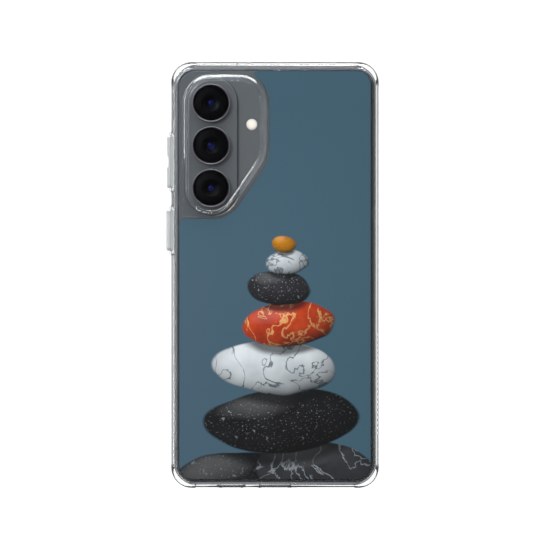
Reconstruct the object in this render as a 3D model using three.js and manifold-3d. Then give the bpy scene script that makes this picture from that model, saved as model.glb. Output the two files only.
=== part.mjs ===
// A smartphone in a clear protective case with a printed back, lying on its screen.
// Millimetres. +X points across the back, +Y to the camera end, +Z out of the back.
// Every position is measured from the case's own centre line and from the surface it lies on.
// The last lines move the whole object sideways, so that its box is centred on the origin.
import * as THREE from "three";
import { mergeVertices } from "three/addons/utils/BufferGeometryUtils.js";
import Module from "manifold-3d";

const wasm = await Module();
wasm.setup();

// ---------------------------------------------------------------- driving dimensions

// Heights of the layers, from the surface that the front lip lies on.
const LEVEL = {
  lipTop: 0.8,
  phoneFront: 0.9,
  phoneBack: 8.1,
  plateBottom: 8.15,
  plateauTop: 9.1,
  plateTop: 9.4,
  lensTop: 10.6,
  crest: 10.95,
};
const BOND_GAP = 0.05; // adhesive or air between two stacked layers
const CUT_MARGIN = 1; // how far a cut runs on past the surface it opens
const HOLE_SIDES = 28; // facets round each large hole and lens
const MEDIUM_SIDES = 20; // facets round the flash, the front camera and the glass in each lens
const PIN_SIDES = 10; // facets round each pinhole
const CORNER_STEPS = 4; // half of the facets round each corner of an outline
const FINE_STEPS = 3; // the same round the small corners of the port's cutout

const PHONE = { halfX: 35.85, halfY: 74.8, corner: 7.4, edgeRound: 0.9 };
const FRAME_RIM = 1.25; // width of the metal that shows round the back glass
const GLASS_SEAM = 0.35; // dark seam between the metal and the back glass
const BACK_GLASS = { thickness: 0.65, edgeInset: 0.15, edgeRise: 0.12 };
const SCREEN = { rim: 0.8, seam: 0.12, thickness: 0.75, edge: 0.15 };

const LENS_X = -22.9;
const LENS_YS = [61.6, 46.35, 31.1];
const PLATEAU = { halfWidth: 9.45, bevelInset: 0.8, bevelRise: 0.55 };
const LENS = { wellRadius: 6.35, glassRadius: 6.3, glassThickness: 0.4 };
const RING = { inner: 6.42, outer: 6.85, outerChamfer: 0.12, outerDrop: 0.2, innerChamfer: 0.1 };
const MODULE = { radius: 6.05, floor: 5.1, top: 9.9, cone: 5.3, throat: 3.1, throatTop: 8.4, seat: 7.0 };
const ELEMENT = { radius: 2.85, edge: 0.3, dome: 0.5, domeRings: 3 };
const FLASH = { x: -8.3, y: 53.9, radius: 2.02, flatRadius: 1.21, clearance: 0.15, depth: 0.9, dome: 0.08 };
const FRONT_CAMERA = { y: 68.4, radius: 1.7, clearance: 0.12, recess: 0.1 };
const EARPIECE = { halfX: 5.2, slit: 0.4, overlap: 0.1 };

const KEY = { inner: -35.0, outer: -36.3, low: 3.3, high: 5.7, gap: 0.3, pocketFloor: -34.6, edgeRound: 0.2 };
const PORT = { halfX: 4.5, low: 2.85, high: 6.15, depth: 7.0, shell: 0.2, gap: 0.15, recess: 0.3 };
const TONGUE = { halfX: 3.35, halfZ: 0.35, recess: 1.1 };
const SPEAKER_SLOT = { centreX: -15.6, halfX: 3.9, halfZ: 0.65, depth: 1.6 };
const SPEAKER_MESH = { gap: 0.1, thickness: 0.5 };
const TRAY = { low: 11.2, high: 23.8, halfZ: 1.2, depth: 4.5, gap: 0.12, pinX: 25.4 };
const MIC = { topX: -11.4, bottomX: 8.6, radius: 0.45, depth: 2.0 };
const PORT_MID = (PORT.low + PORT.high) / 2;

const CASE = { halfX: 37.2, halfY: 76.3, corner: 7.4 };
const CASE_BACK_ROUND = { inset: 2.5, rise: 2.4 };
const CASE_FRONT_ROUND = 0.8;
const CAVITY = { clearance: 0.1, edgeRound: 0.8 };
const LIP_OVERLAP = 1.45; // how far the front lip reaches over the phone's edge
const BUMPER_MIDDLE = 4.5; // a height inside the cavity, where the openings for screen and plate both end
const PLATE = { halfX: 34.45, halfY: 73.4, corner: 5.0, seam: 0.05 };
const PRINT = { halfX: 34.2, halfY: 73.35, corner: 4.8, lift: 0.02, thickness: 0.08 };

// The top and bottom walls are thinner between the corner pads, behind a short ramp.
const PAD = { end: 30.9, rampEnd: 27.9, rampDrop: 0.2 };
const TOP_LEDGE = { wallY: 75.4, height: 5.2 };
const BOTTOM_WALL_Y = 75.7;
const SPEAKER_BOSS = { low: -20.9, high: -10.4 };
const PORT_BOSS = { low: -6.6, high: 7.9 };
const PORT_CUTOUT = { halfX: 5.8, low: 2.1, high: 7.3, round: 1.6 };
const PORT_NOTCH = { low: -6.2, high: 6.4, depth: 0.95, round: 0.9 };
const SPEAKER_CUTOUT = { low: -19.9, high: -11.4, halfZ: 1.3 };
const MIC_CUTOUT = { low: -13.7, high: -9.2, halfZ: 1.3 };

// Two soft covers stand in windows of the left wall, between raised shoulders.
const SHOULDER = { outer: -37.92, root: -37.1, low: 1.8, high: 7.2, flat: 0.8, ramp: 1.95 };
const SHOULDER_ROUND = { inset: 0.1, rise: 0.3 };
const COVER = { inner: -36.35, low: 2.5, high: 6.5, inset: 0.25, rise: 0.4, gap: 0.32, keyInset: 0.7 };
const COVER_RADII = { inner: 0.3, outer: 0.6, valley: 0.8 };
const VOLUME_COVER = { low: 31.2, high: 49.8, outer: -38.7, valley: 0.45, valleyHalf: 1.9, valleyRamp: 1.3 };
const POWER_COVER = { low: 8.7, high: 23.4, outer: -38.95, valley: 0 };

const GRIP = { low: -56.6, high: -21.4, grooves: 20, width: 0.8, depth: 0.3, bottom: 1.9, top: 6.7 };

// The camera window is a rounded quadrilateral with one slanted side. The slanted side is given by its
// distance from the centre line's origin along its outward normal.
const WINDOW = { left: -30.85, right: -5.45, top: 69.65, bottom: 23.1, slant: -28.6 };
const WINDOW_RADII = { topRight: 7.4, topLeft: 8.2, bottomLeft: 7.9, heel: 7.2, knee: 9.0 };
const SLANT_NORMAL = new THREE.Vector2(0.83, -0.5577);
const FLANGE = { width: 1.6, edgeTop: 10.1, underside: 9.25, clearance: 0.3 };
const CREST = { width: 2.35, squareCorner: 0.6, inset: 0.3, rise: 0.35, root: 0.5 };
// The print stops short of the window, along an outline of its own.
const PRINT_WINDOW = { right: -1.97, bottom: 19.95, slant: -24.5, brow: new THREE.Vector2(-1.97, 66.9) };
const PRINT_WINDOW_RADII = { tip: 1.8, brow: 10.5, knee: 12.0, heel: 11.0, corner: 1.8 };
const BROW_ANGLE = THREE.MathUtils.degToRad(140.7);

// ---------------------------------------------------------------- solids from geometry

function solidFrom(geometry) {
  geometry.deleteAttribute("normal");
  geometry.deleteAttribute("uv");
  const merged = mergeVertices(geometry);
  const index = merged.index.array;
  const triangles = [];
  for (let i = 0; i < index.length; i += 3) {
    const [a, b, c] = index.slice(i, i + 3);
    if (a !== b && b !== c && c !== a) triangles.push(a, b, c);
  }
  const vertProperties = merged.attributes.position.array;
  const triVerts = new Uint32Array(triangles);
  return new wasm.Manifold(new wasm.Mesh({ numProp: 3, vertProperties, triVerts }));
}

function geometryFrom(solid) {
  const mesh = solid.getMesh();
  const geometry = new THREE.BufferGeometry();
  geometry.setAttribute("position", new THREE.BufferAttribute(mesh.vertProperties, 3));
  geometry.setIndex(new THREE.BufferAttribute(mesh.triVerts, 1));
  geometry.computeVertexNormals();
  return geometry;
}

function joined(solids) {
  return solids.reduce((whole, next) => whole.add(next));
}

function block([x0, x1], [y0, y1], [z0, z1]) {
  const geometry = new THREE.BoxGeometry(x1 - x0, y1 - y0, z1 - z0);
  return solidFrom(geometry.translate((x0 + x1) / 2, (y0 + y1) / 2, (z0 + z1) / 2));
}

// A plain slab of an outline in the XY plane.
function slab(outline, low, high, curveSegments = CORNER_STEPS) {
  const geometry = new THREE.ExtrudeGeometry(outline, {
    depth: high - low,
    bevelEnabled: false,
    curveSegments,
  });
  return geometry.translate(0, 0, low);
}

// A slab whose two faces are rounded in by `inset` over a height of `rise`.
function roundedSlab(outline, low, high, inset, rise, bevelSegments = 2, curveSegments = CORNER_STEPS) {
  const geometry = new THREE.ExtrudeGeometry(outline, {
    depth: high - low - 2 * rise,
    bevelSize: inset,
    bevelOffset: -inset,
    bevelThickness: rise,
    bevelSegments,
    curveSegments,
  });
  return geometry.translate(0, 0, low + rise);
}

// A slab that is rounded only at its upper face.
function crownedSlab(outline, low, high, inset, rise) {
  const whole = roundedSlab(outline, low - 2 * rise, high, inset, rise);
  whole.computeBoundingBox();
  const { min, max } = whole.boundingBox;
  return solidFrom(whole).intersect(block([min.x, max.x], [min.y, max.y], [low, high]));
}

// Turns geometry drawn in XY with its depth along Z into a piece whose depth runs along Y, up to `high`.
function alongY(geometry, high) {
  return geometry.rotateX(Math.PI / 2).translate(0, high, 0);
}

// Turns geometry drawn as (Y, Z) with its depth along Z into a piece whose depth runs along X, from `low`.
function alongX(geometry, low) {
  return geometry.rotateY(Math.PI / 2).rotateX(Math.PI / 2).translate(low, 0, 0);
}

function disc(x, y, radius, low, high, sides = HOLE_SIDES) {
  const geometry = new THREE.CylinderGeometry(radius, radius, high - low, sides);
  return geometry.rotateX(Math.PI / 2).translate(x, y, (low + high) / 2);
}

// Turns a profile of [radius, height] points about the vertical line through (x, y).
function turned(profile, x, y, sides = HOLE_SIDES) {
  const points = profile.map(([radius, height]) => new THREE.Vector2(radius, height));
  return new THREE.LatheGeometry(points, sides).rotateX(Math.PI / 2).translate(x, y, 0);
}

// ---------------------------------------------------------------- outlines

// A closed outline through corners [x, y, radius], each rounded to its radius.
function filletedOutline(corners) {
  const points = corners.map(([x, y]) => new THREE.Vector2(x, y));
  const shape = new THREE.Shape();
  corners.forEach(([, , radius], i) => {
    const here = points[i];
    const back = points.at(i - 1).clone().sub(here).normalize();
    const ahead = points[(i + 1) % points.length].clone().sub(here).normalize();
    const halfAngle = Math.acos(back.dot(ahead)) / 2;
    const centre = back.clone().add(ahead).setLength(radius / Math.sin(halfAngle)).add(here);
    const setback = radius / Math.tan(halfAngle);
    const start = back.multiplyScalar(setback).add(here).sub(centre).angle();
    const clockwise = points.at(i - 1).clone().sub(here).cross(ahead) > 0;
    const end = ahead.multiplyScalar(setback).add(here).sub(centre).angle();
    shape.absarc(centre.x, centre.y, radius, start, end, clockwise);
  });
  return shape;
}

function roundedRectangle(halfX, halfY, radius, x = 0, y = 0) {
  return filletedOutline([
    [x + halfX, y + halfY, radius],
    [x - halfX, y + halfY, radius],
    [x - halfX, y - halfY, radius],
    [x + halfX, y - halfY, radius],
  ]);
}

// Two half circles about points a and b, joined by straight sides.
function stadium(a, b, radius) {
  const facing = Math.atan2(b[1] - a[1], b[0] - a[0]);
  const quarter = Math.PI / 2;
  const shape = new THREE.Shape();
  shape.absarc(b[0], b[1], radius, facing - quarter, facing + quarter, false);
  shape.absarc(a[0], a[1], radius, facing + quarter, facing + 3 * quarter, false);
  return shape;
}

// The point where the slanted side meets a vertical line or a horizontal line.
function slantAtX(x, slant) {
  return (slant - SLANT_NORMAL.x * x) / SLANT_NORMAL.y;
}

function slantAtY(y, slant) {
  return (slant - SLANT_NORMAL.y * y) / SLANT_NORMAL.x;
}

// The camera window, grown outwards all round by `grow`.
function windowOutline(grow, bottomLeftRadius = WINDOW_RADII.bottomLeft + grow) {
  const left = WINDOW.left - grow;
  const right = WINDOW.right + grow;
  const top = WINDOW.top + grow;
  const bottom = WINDOW.bottom - grow;
  const slant = WINDOW.slant + grow;
  return filletedOutline([
    [right, top, WINDOW_RADII.topRight + grow],
    [left, top, WINDOW_RADII.topLeft + grow],
    [left, bottom, bottomLeftRadius],
    [slantAtY(bottom, slant), bottom, WINDOW_RADII.heel + grow],
    [right, slantAtX(right, slant), WINDOW_RADII.knee + grow],
  ]);
}

// The camera plateau is a stadium with its two ends centred on the outer lenses.
function plateauOutline(grow) {
  return stadium([LENS_X, LENS_YS.at(-1)], [LENS_X, LENS_YS[0]], PLATEAU.halfWidth + grow);
}

// ---------------------------------------------------------------- the object and its materials

const object = new THREE.Group();

function material(color, roughness, metalness = 0) {
  return new THREE.MeshStandardMaterial({ color, roughness, metalness });
}

function addPiece(name, solid, finish) {
  const mesh = new THREE.Mesh(geometryFrom(solid), finish);
  mesh.name = name;
  object.add(mesh);
}

const clearPlastic = { opacity: 0.35, transparent: true };
const finishes = {
  frame: () => material(0x55585c, 0.35, 1),
  backGlass: () => material(0x666a6e, 0.3),
  screen: () => material(0x050608, 0.06),
  ring: () => material(0x6e6b70, 0.3, 1),
  lens: () => material(0x08080a, 0.05),
  barrel: () => material(0x0a0a0b, 0.5),
  coated: () => material(0x1a1f6a, 0.05),
  flash: () => material(0xefe4cc, 0.3),
  steel: () => material(0x8c8d90, 0.35, 1),
  dark: () => material(0x141516, 0.5),
  clear: () => Object.assign(material(0xf2f4f5, 0.08), clearPlastic),
  print: () => material(0x44606f, 0.4),
};

// ---------------------------------------------------------------- phone: metal frame

function stadiumAlongY(halfX, halfZ, x, z, low, high) {
  const reach = halfX - halfZ;
  const outline = stadium([x - reach, z], [x + reach, z], halfZ);
  return solidFrom(alongY(slab(outline, 0, high - low), high));
}

function pinHoleAlongY(x, y, depth) {
  const length = depth * 2;
  const geometry = new THREE.CylinderGeometry(MIC.radius, MIC.radius, length, PIN_SIDES);
  return solidFrom(geometry.translate(x, y, PORT_MID));
}

function keyPocket(cover) {
  const y = [cover.low + COVER.keyInset - KEY.gap, cover.high - COVER.keyInset + KEY.gap];
  return block([KEY.outer, KEY.pocketFloor], y, [KEY.low - KEY.gap, KEY.high + KEY.gap]);
}

// The three lens wells, and the flash's well, between two heights.
function lensWells(low, high) {
  return LENS_YS.map((y) => solidFrom(disc(LENS_X, y, LENS.wellRadius, low, high)));
}

function flashWell(low, high) {
  return solidFrom(disc(FLASH.x, FLASH.y, FLASH.radius + FLASH.clearance, low, high, MEDIUM_SIDES));
}

function phoneFrame() {
  const { halfX, halfY, corner, edgeRound } = PHONE;
  const outline = roundedRectangle(halfX, halfY, corner);
  const blank = solidFrom(roundedSlab(outline, LEVEL.phoneFront, LEVEL.phoneBack, edgeRound, edgeRound, 3));
  const recess = (rim, low, high) =>
    solidFrom(slab(roundedRectangle(halfX - rim, halfY - rim, corner - rim), low, high));
  const glassFloor = LEVEL.phoneBack - BACK_GLASS.thickness - BOND_GAP;
  const screenFloor = LEVEL.phoneFront + SCREEN.thickness + BOND_GAP;
  const mouth = -halfY - CUT_MARGIN;
  const tray = { halfX: (TRAY.high - TRAY.low) / 2 + TRAY.gap, middle: (TRAY.low + TRAY.high) / 2 };
  const earpieceY = halfY - SCREEN.rim;
  const cuts = [
    recess(FRAME_RIM, glassFloor, LEVEL.phoneBack + CUT_MARGIN),
    recess(SCREEN.rim, LEVEL.phoneFront - CUT_MARGIN, screenFloor),
    ...lensWells(MODULE.floor - BOND_GAP, LEVEL.phoneBack),
    flashWell(LEVEL.phoneBack - FLASH.depth - BOND_GAP, LEVEL.phoneBack),
    stadiumAlongY(PORT.halfX, (PORT.high - PORT.low) / 2, 0, PORT_MID, mouth, PORT.depth - halfY),
    stadiumAlongY(SPEAKER_SLOT.halfX, SPEAKER_SLOT.halfZ, SPEAKER_SLOT.centreX, PORT_MID, mouth,
      SPEAKER_SLOT.depth - halfY),
    stadiumAlongY(tray.halfX, TRAY.halfZ + TRAY.gap, tray.middle, PORT_MID, mouth,
      TRAY.depth + TRAY.gap - halfY),
    pinHoleAlongY(TRAY.pinX, -halfY, MIC.depth),
    pinHoleAlongY(MIC.bottomX, -halfY, MIC.depth),
    pinHoleAlongY(MIC.topX, halfY, MIC.depth),
    block([-EARPIECE.halfX, EARPIECE.halfX], [earpieceY - EARPIECE.overlap, earpieceY + EARPIECE.slit],
      [0, LEVEL.phoneFront + SCREEN.thickness]),
    keyPocket(VOLUME_COVER),
    keyPocket(POWER_COVER),
  ];
  return blank.subtract(joined(cuts));
}
addPiece("phone_frame", phoneFrame(), finishes.frame());

// ---------------------------------------------------------------- phone: glass front and back

function backGlass() {
  const inset = FRAME_RIM + GLASS_SEAM;
  const outline = roundedRectangle(PHONE.halfX - inset, PHONE.halfY - inset, PHONE.corner - inset);
  const bottom = LEVEL.phoneBack - BACK_GLASS.thickness;
  const pane = crownedSlab(outline, bottom, LEVEL.phoneBack, BACK_GLASS.edgeInset, BACK_GLASS.edgeRise);
  const through = [bottom - CUT_MARGIN, LEVEL.phoneBack + CUT_MARGIN];
  return pane.subtract(joined([...lensWells(...through), flashWell(...through)]));
}
addPiece("back_glass", backGlass(), finishes.backGlass());

function screenGlass() {
  const inset = SCREEN.rim + SCREEN.seam;
  const top = LEVEL.phoneFront + SCREEN.thickness;
  const outline = roundedRectangle(PHONE.halfX - inset, PHONE.halfY - inset, PHONE.corner - inset);
  const { edge } = SCREEN;
  const blank = solidFrom(roundedSlab(outline, LEVEL.phoneFront, top + edge, edge, edge));
  const trim = block([-PHONE.halfX, PHONE.halfX], [-PHONE.halfY, PHONE.halfY], [top, top + CUT_MARGIN]);
  const cameraHole = FRONT_CAMERA.radius + FRONT_CAMERA.clearance;
  const hole = disc(0, FRONT_CAMERA.y, cameraHole, 0, top + CUT_MARGIN, MEDIUM_SIDES);
  return blank.subtract(trim).subtract(solidFrom(hole));
}
addPiece("screen_glass", screenGlass(), finishes.screen());

function frontCamera() {
  const top = LEVEL.phoneFront + SCREEN.thickness;
  const bottom = LEVEL.phoneFront + FRONT_CAMERA.recess;
  return solidFrom(disc(0, FRONT_CAMERA.y, FRONT_CAMERA.radius, bottom, top, MEDIUM_SIDES));
}
addPiece("front_camera", frontCamera(), finishes.lens());

// ---------------------------------------------------------------- phone: cameras and flash

function cameraPlateau() {
  const bottom = LEVEL.phoneBack + BOND_GAP;
  const { bevelInset, bevelRise } = PLATEAU;
  const pad = crownedSlab(plateauOutline(0), bottom, LEVEL.plateauTop, bevelInset, bevelRise);
  return pad.subtract(joined(lensWells(bottom - CUT_MARGIN, LEVEL.lensTop)));
}
addPiece("camera_plateau", cameraPlateau(), finishes.backGlass());

function lensRing(y) {
  const { inner, outer, outerChamfer, outerDrop, innerChamfer } = RING;
  const bottom = LEVEL.plateauTop + BOND_GAP;
  const profile = [
    [inner, bottom],
    [outer, bottom],
    [outer, LEVEL.lensTop - outerDrop],
    [outer - outerChamfer, LEVEL.lensTop],
    [inner + innerChamfer, LEVEL.lensTop],
    [inner, LEVEL.lensTop - innerChamfer],
    [inner, bottom],
  ];
  return solidFrom(turned(profile, LENS_X, y));
}

function lensModule(y) {
  const { radius, floor, top, cone, throat, throatTop, seat } = MODULE;
  const profile = [
    [0, floor],
    [radius, floor],
    [radius, top],
    [cone, top],
    [throat, throatTop],
    [throat, seat],
    [0, seat],
  ];
  return solidFrom(turned(profile, LENS_X, y));
}

function lensElement(y) {
  const seat = MODULE.seat + BOND_GAP;
  const rim = seat + ELEMENT.edge;
  const profile = [
    [0, seat],
    [ELEMENT.radius, seat],
  ];
  for (let i = 0; i <= ELEMENT.domeRings; i += 1) {
    const reach = 1 - i / ELEMENT.domeRings;
    profile.push([ELEMENT.radius * reach, rim + ELEMENT.dome * (1 - reach * reach)]);
  }
  return solidFrom(turned(profile, LENS_X, y, MEDIUM_SIDES));
}

LENS_YS.forEach((y, i) => {
  const label = i + 1;
  const glassBottom = MODULE.top + 2 * BOND_GAP;
  addPiece(`lens_module_${label}`, lensModule(y), finishes.barrel());
  addPiece(`lens_element_${label}`, lensElement(y), finishes.coated());
  const pane = disc(LENS_X, y, LENS.glassRadius, glassBottom, glassBottom + LENS.glassThickness);
  addPiece(`lens_glass_${label}`, solidFrom(pane), finishes.lens());
  addPiece(`lens_ring_${label}`, lensRing(y), finishes.ring());
});

function flashLens() {
  const low = LEVEL.phoneBack - FLASH.depth;
  const profile = [
    [0, low],
    [FLASH.radius, low],
    [FLASH.radius, LEVEL.phoneBack - FLASH.dome],
    [FLASH.flatRadius, LEVEL.phoneBack],
    [0, LEVEL.phoneBack],
  ];
  return solidFrom(turned(profile, FLASH.x, FLASH.y, MEDIUM_SIDES));
}
addPiece("flash_lens", flashLens(), finishes.flash());

// ---------------------------------------------------------------- phone: bottom edge

function portShell() {
  const { gap, shell } = PORT;
  const halfZ = (PORT.high - PORT.low) / 2 - gap;
  const halfX = PORT.halfX - gap;
  const mouth = PORT.recess - PHONE.halfY;
  const end = PORT.depth - PHONE.halfY - BOND_GAP;
  const outside = stadiumAlongY(halfX, halfZ, 0, PORT_MID, mouth, end);
  const inside = stadiumAlongY(halfX - shell, halfZ - shell, 0, PORT_MID, mouth - CUT_MARGIN, end - shell);
  return outside.subtract(inside);
}
addPiece("port_shell", portShell(), finishes.steel());

function portTongue() {
  const back = PORT.depth - PHONE.halfY - PORT.shell - 3 * BOND_GAP;
  const front = -PHONE.halfY + TONGUE.recess;
  const { halfX, halfZ } = TONGUE;
  return block([-halfX, halfX], [front, back], [PORT_MID - halfZ, PORT_MID + halfZ]);
}
addPiece("port_tongue", portTongue(), finishes.dark());

function speakerGrille() {
  const { halfX, halfZ, centreX, depth } = SPEAKER_SLOT;
  const { gap, thickness } = SPEAKER_MESH;
  const back = depth - PHONE.halfY - BOND_GAP;
  return stadiumAlongY(halfX - gap, halfZ - gap, centreX, PORT_MID, back - thickness, back);
}
addPiece("speaker_grille", speakerGrille(), finishes.dark());

function simTray() {
  const centreX = (TRAY.low + TRAY.high) / 2;
  const halfX = (TRAY.high - TRAY.low) / 2;
  return stadiumAlongY(halfX, TRAY.halfZ, centreX, PORT_MID, -PHONE.halfY, TRAY.depth - PHONE.halfY);
}
addPiece("sim_tray", simTray(), finishes.frame());

// ---------------------------------------------------------------- phone keys and the case's soft covers

function phoneKey(cover) {
  const halfZ = (KEY.high - KEY.low) / 2;
  const middleZ = (KEY.low + KEY.high) / 2;
  const endInset = COVER.keyInset + halfZ;
  const outline = stadium([cover.low + endInset, middleZ], [cover.high - endInset, middleZ], halfZ);
  const body = roundedSlab(outline, 0, KEY.inner - KEY.outer, KEY.edgeRound, KEY.edgeRound);
  return solidFrom(alongX(body, KEY.outer));
}

// The cover's outer face has a shallow valley in its middle where the two volume presses meet.
function keyCover(cover) {
  const { low, high, outer, valley } = cover;
  const middle = (low + high) / 2;
  const radii = COVER_RADII;
  const corners = [
    [COVER.inner, low, radii.inner],
    [COVER.inner, high, radii.inner],
    [outer, high, radii.outer],
  ];
  if (valley > 0) {
    const floorEnd = cover.valleyHalf;
    const rampEnd = floorEnd + cover.valleyRamp;
    corners.push(
      [outer, middle + rampEnd, radii.valley],
      [outer + valley, middle + floorEnd, radii.valley],
      [outer + valley, middle - floorEnd, radii.valley],
      [outer, middle - rampEnd, radii.valley],
    );
  }
  corners.push([outer, low, radii.outer]);
  const outline = filletedOutline(corners);
  return solidFrom(roundedSlab(outline, COVER.low, COVER.high, COVER.inset, COVER.rise, 2, 2));
}

addPiece("volume_key", phoneKey(VOLUME_COVER), finishes.frame());
addPiece("power_key", phoneKey(POWER_COVER), finishes.frame());
addPiece("case_volume_cover", keyCover(VOLUME_COVER), finishes.clear());
addPiece("case_power_cover", keyCover(POWER_COVER), finishes.clear());

// ---------------------------------------------------------------- case: soft bumper

// What is cut away outside the thin wall between two places along X, with a ramp beside a corner pad.
function wallCut(from, to, wallY, sign, low) {
  const outside = CASE.halfY + CUT_MARGIN;
  const padY = CASE.halfY - PAD.rampDrop;
  const shape = new THREE.Shape();
  shape.moveTo(from, outside * sign);
  if (from === -PAD.end) shape.lineTo(from, padY * sign);
  shape.lineTo(from === -PAD.end ? -PAD.rampEnd : from, wallY * sign);
  shape.lineTo(to === PAD.end ? PAD.rampEnd : to, wallY * sign);
  if (to === PAD.end) shape.lineTo(to, padY * sign);
  shape.lineTo(to, outside * sign);
  return solidFrom(slab(shape, low, LEVEL.plateTop + CUT_MARGIN));
}

// A raised shoulder round a cover's window, ramped down to the wall at both ends.
function coverShoulder(cover) {
  const { outer, root, flat, ramp, low, high } = SHOULDER;
  const shape = new THREE.Shape();
  shape.moveTo(root, cover.low - flat - ramp);
  shape.lineTo(outer, cover.low - flat);
  shape.lineTo(outer, cover.high + flat);
  shape.lineTo(root, cover.high + flat + ramp);
  return solidFrom(roundedSlab(shape, low, high, SHOULDER_ROUND.inset, SHOULDER_ROUND.rise, 1));
}

function coverWindow(cover) {
  const y = [cover.low - COVER.gap, cover.high + COVER.gap];
  const x = [SHOULDER.outer - CUT_MARGIN, -PHONE.halfX];
  return block(x, y, [COVER.low - COVER.gap, COVER.high + COVER.gap]);
}

function gripGrooves() {
  const pitch = (GRIP.high - GRIP.low) / (GRIP.grooves - 1);
  const grooves = [];
  for (let i = 0; i < GRIP.grooves; i += 1) {
    const y = GRIP.low + i * pitch;
    const across = [y - GRIP.width / 2, y + GRIP.width / 2];
    const x = [CASE.halfX - GRIP.depth, CASE.halfX + CUT_MARGIN];
    grooves.push(block(x, across, [GRIP.bottom, GRIP.top]));
  }
  return joined(grooves);
}

function caseBumper() {
  const { halfX, halfY, corner } = CASE;
  const outline = () => roundedRectangle(halfX, halfY, corner);
  const { inset, rise } = CASE_BACK_ROUND;
  const roundedBack = solidFrom(roundedSlab(outline(), -rise * 2, LEVEL.plateTop, inset, rise, 4));
  const front = CASE_FRONT_ROUND;
  const roundedFront = solidFrom(roundedSlab(outline(), 0, LEVEL.plateTop + 2 * front, front, front));
  const shoulders = [VOLUME_COVER, POWER_COVER].map(coverShoulder);
  const blank = joined([roundedBack.intersect(roundedFront), ...shoulders]);

  const cavityX = PHONE.halfX + CAVITY.clearance;
  const cavityY = PHONE.halfY + CAVITY.clearance;
  const cavityOutline = roundedRectangle(cavityX, cavityY, PHONE.corner + CAVITY.clearance);
  const round = CAVITY.edgeRound;
  const lipX = PHONE.halfX - LIP_OVERLAP;
  const lipY = PHONE.halfY - LIP_OVERLAP;
  const screenOutline = roundedRectangle(lipX, lipY, PHONE.corner - LIP_OVERLAP);
  const plateX = PLATE.halfX + PLATE.seam;
  const plateY = PLATE.halfY + PLATE.seam;
  const plateOutline = roundedRectangle(plateX, plateY, PLATE.corner + PLATE.seam);
  const notchY = PLATE.halfY + PORT_NOTCH.depth;
  const notchHalf = (PORT_NOTCH.high - PORT_NOTCH.low) / 2;
  const notchOutline = roundedRectangle(notchHalf, PORT_NOTCH.depth * 2, PORT_NOTCH.round,
    (PORT_NOTCH.high + PORT_NOTCH.low) / 2, PORT_NOTCH.depth * 2 - notchY);
  const through = 2 * (halfY - PHONE.halfY) + CUT_MARGIN;
  const portOutline = roundedRectangle(PORT_CUTOUT.halfX, (PORT_CUTOUT.high - PORT_CUTOUT.low) / 2,
    PORT_CUTOUT.round, 0, (PORT_CUTOUT.high + PORT_CUTOUT.low) / 2);
  const slotAcross = ({ low, high, halfZ }, end) =>
    stadiumAlongY((high - low) / 2, halfZ, (low + high) / 2, PORT_MID, end - through / 2, end + through / 2);

  const cuts = [
    solidFrom(roundedSlab(cavityOutline, LEVEL.lipTop, LEVEL.plateBottom, round, round)),
    solidFrom(slab(screenOutline, -CUT_MARGIN, BUMPER_MIDDLE)),
    solidFrom(slab(plateOutline, BUMPER_MIDDLE, LEVEL.plateTop + CUT_MARGIN)),
    solidFrom(slab(notchOutline, LEVEL.phoneBack, LEVEL.plateTop + CUT_MARGIN, FINE_STEPS)),
    solidFrom(alongY(slab(portOutline, 0, through, FINE_STEPS), through / 2 - halfY)),
    slotAcross(SPEAKER_CUTOUT, -halfY),
    slotAcross(MIC_CUTOUT, halfY),
    wallCut(-PAD.end, PAD.end, TOP_LEDGE.wallY, 1, TOP_LEDGE.height),
    wallCut(-PAD.end, SPEAKER_BOSS.low, BOTTOM_WALL_Y, -1, -CUT_MARGIN),
    wallCut(SPEAKER_BOSS.high, PORT_BOSS.low, BOTTOM_WALL_Y, -1, -CUT_MARGIN),
    wallCut(PORT_BOSS.high, PAD.end, BOTTOM_WALL_Y, -1, -CUT_MARGIN),
    coverWindow(VOLUME_COVER),
    coverWindow(POWER_COVER),
    gripGrooves(),
  ];
  return blank.subtract(joined(cuts));
}
addPiece("case_bumper", caseBumper(), finishes.clear());

// ---------------------------------------------------------------- case: hard back plate and its print

// Widens upwards from the window's edge to the inner side of the crest.
function flangeCutter() {
  const rise = LEVEL.crest - FLANGE.edgeTop;
  const geometry = new THREE.ExtrudeGeometry(windowOutline(0), {
    depth: CUT_MARGIN,
    bevelSize: FLANGE.width,
    bevelThickness: rise,
    bevelSegments: 1,
    curveSegments: CORNER_STEPS,
  });
  return solidFrom(geometry.translate(0, 0, LEVEL.crest));
}

function caseBackPlate() {
  const { halfX, halfY, corner } = PLATE;
  const plate = solidFrom(slab(roundedRectangle(halfX, halfY, corner), LEVEL.plateBottom, LEVEL.plateTop));
  const crestOutline = windowOutline(CREST.width, CREST.squareCorner);
  const root = LEVEL.plateBottom + CREST.root;
  const crest = crownedSlab(crestOutline, root, LEVEL.crest, CREST.inset, CREST.rise);
  const below = LEVEL.plateBottom - CUT_MARGIN;
  const relief = slab(plateauOutline(FLANGE.clearance), below, FLANGE.underside);
  return plate.add(crest)
    .subtract(solidFrom(slab(windowOutline(0), below, LEVEL.crest + CUT_MARGIN)))
    .subtract(flangeCutter())
    .subtract(solidFrom(relief));
}
addPiece("case_back_plate", caseBackPlate(), finishes.clear());

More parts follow.
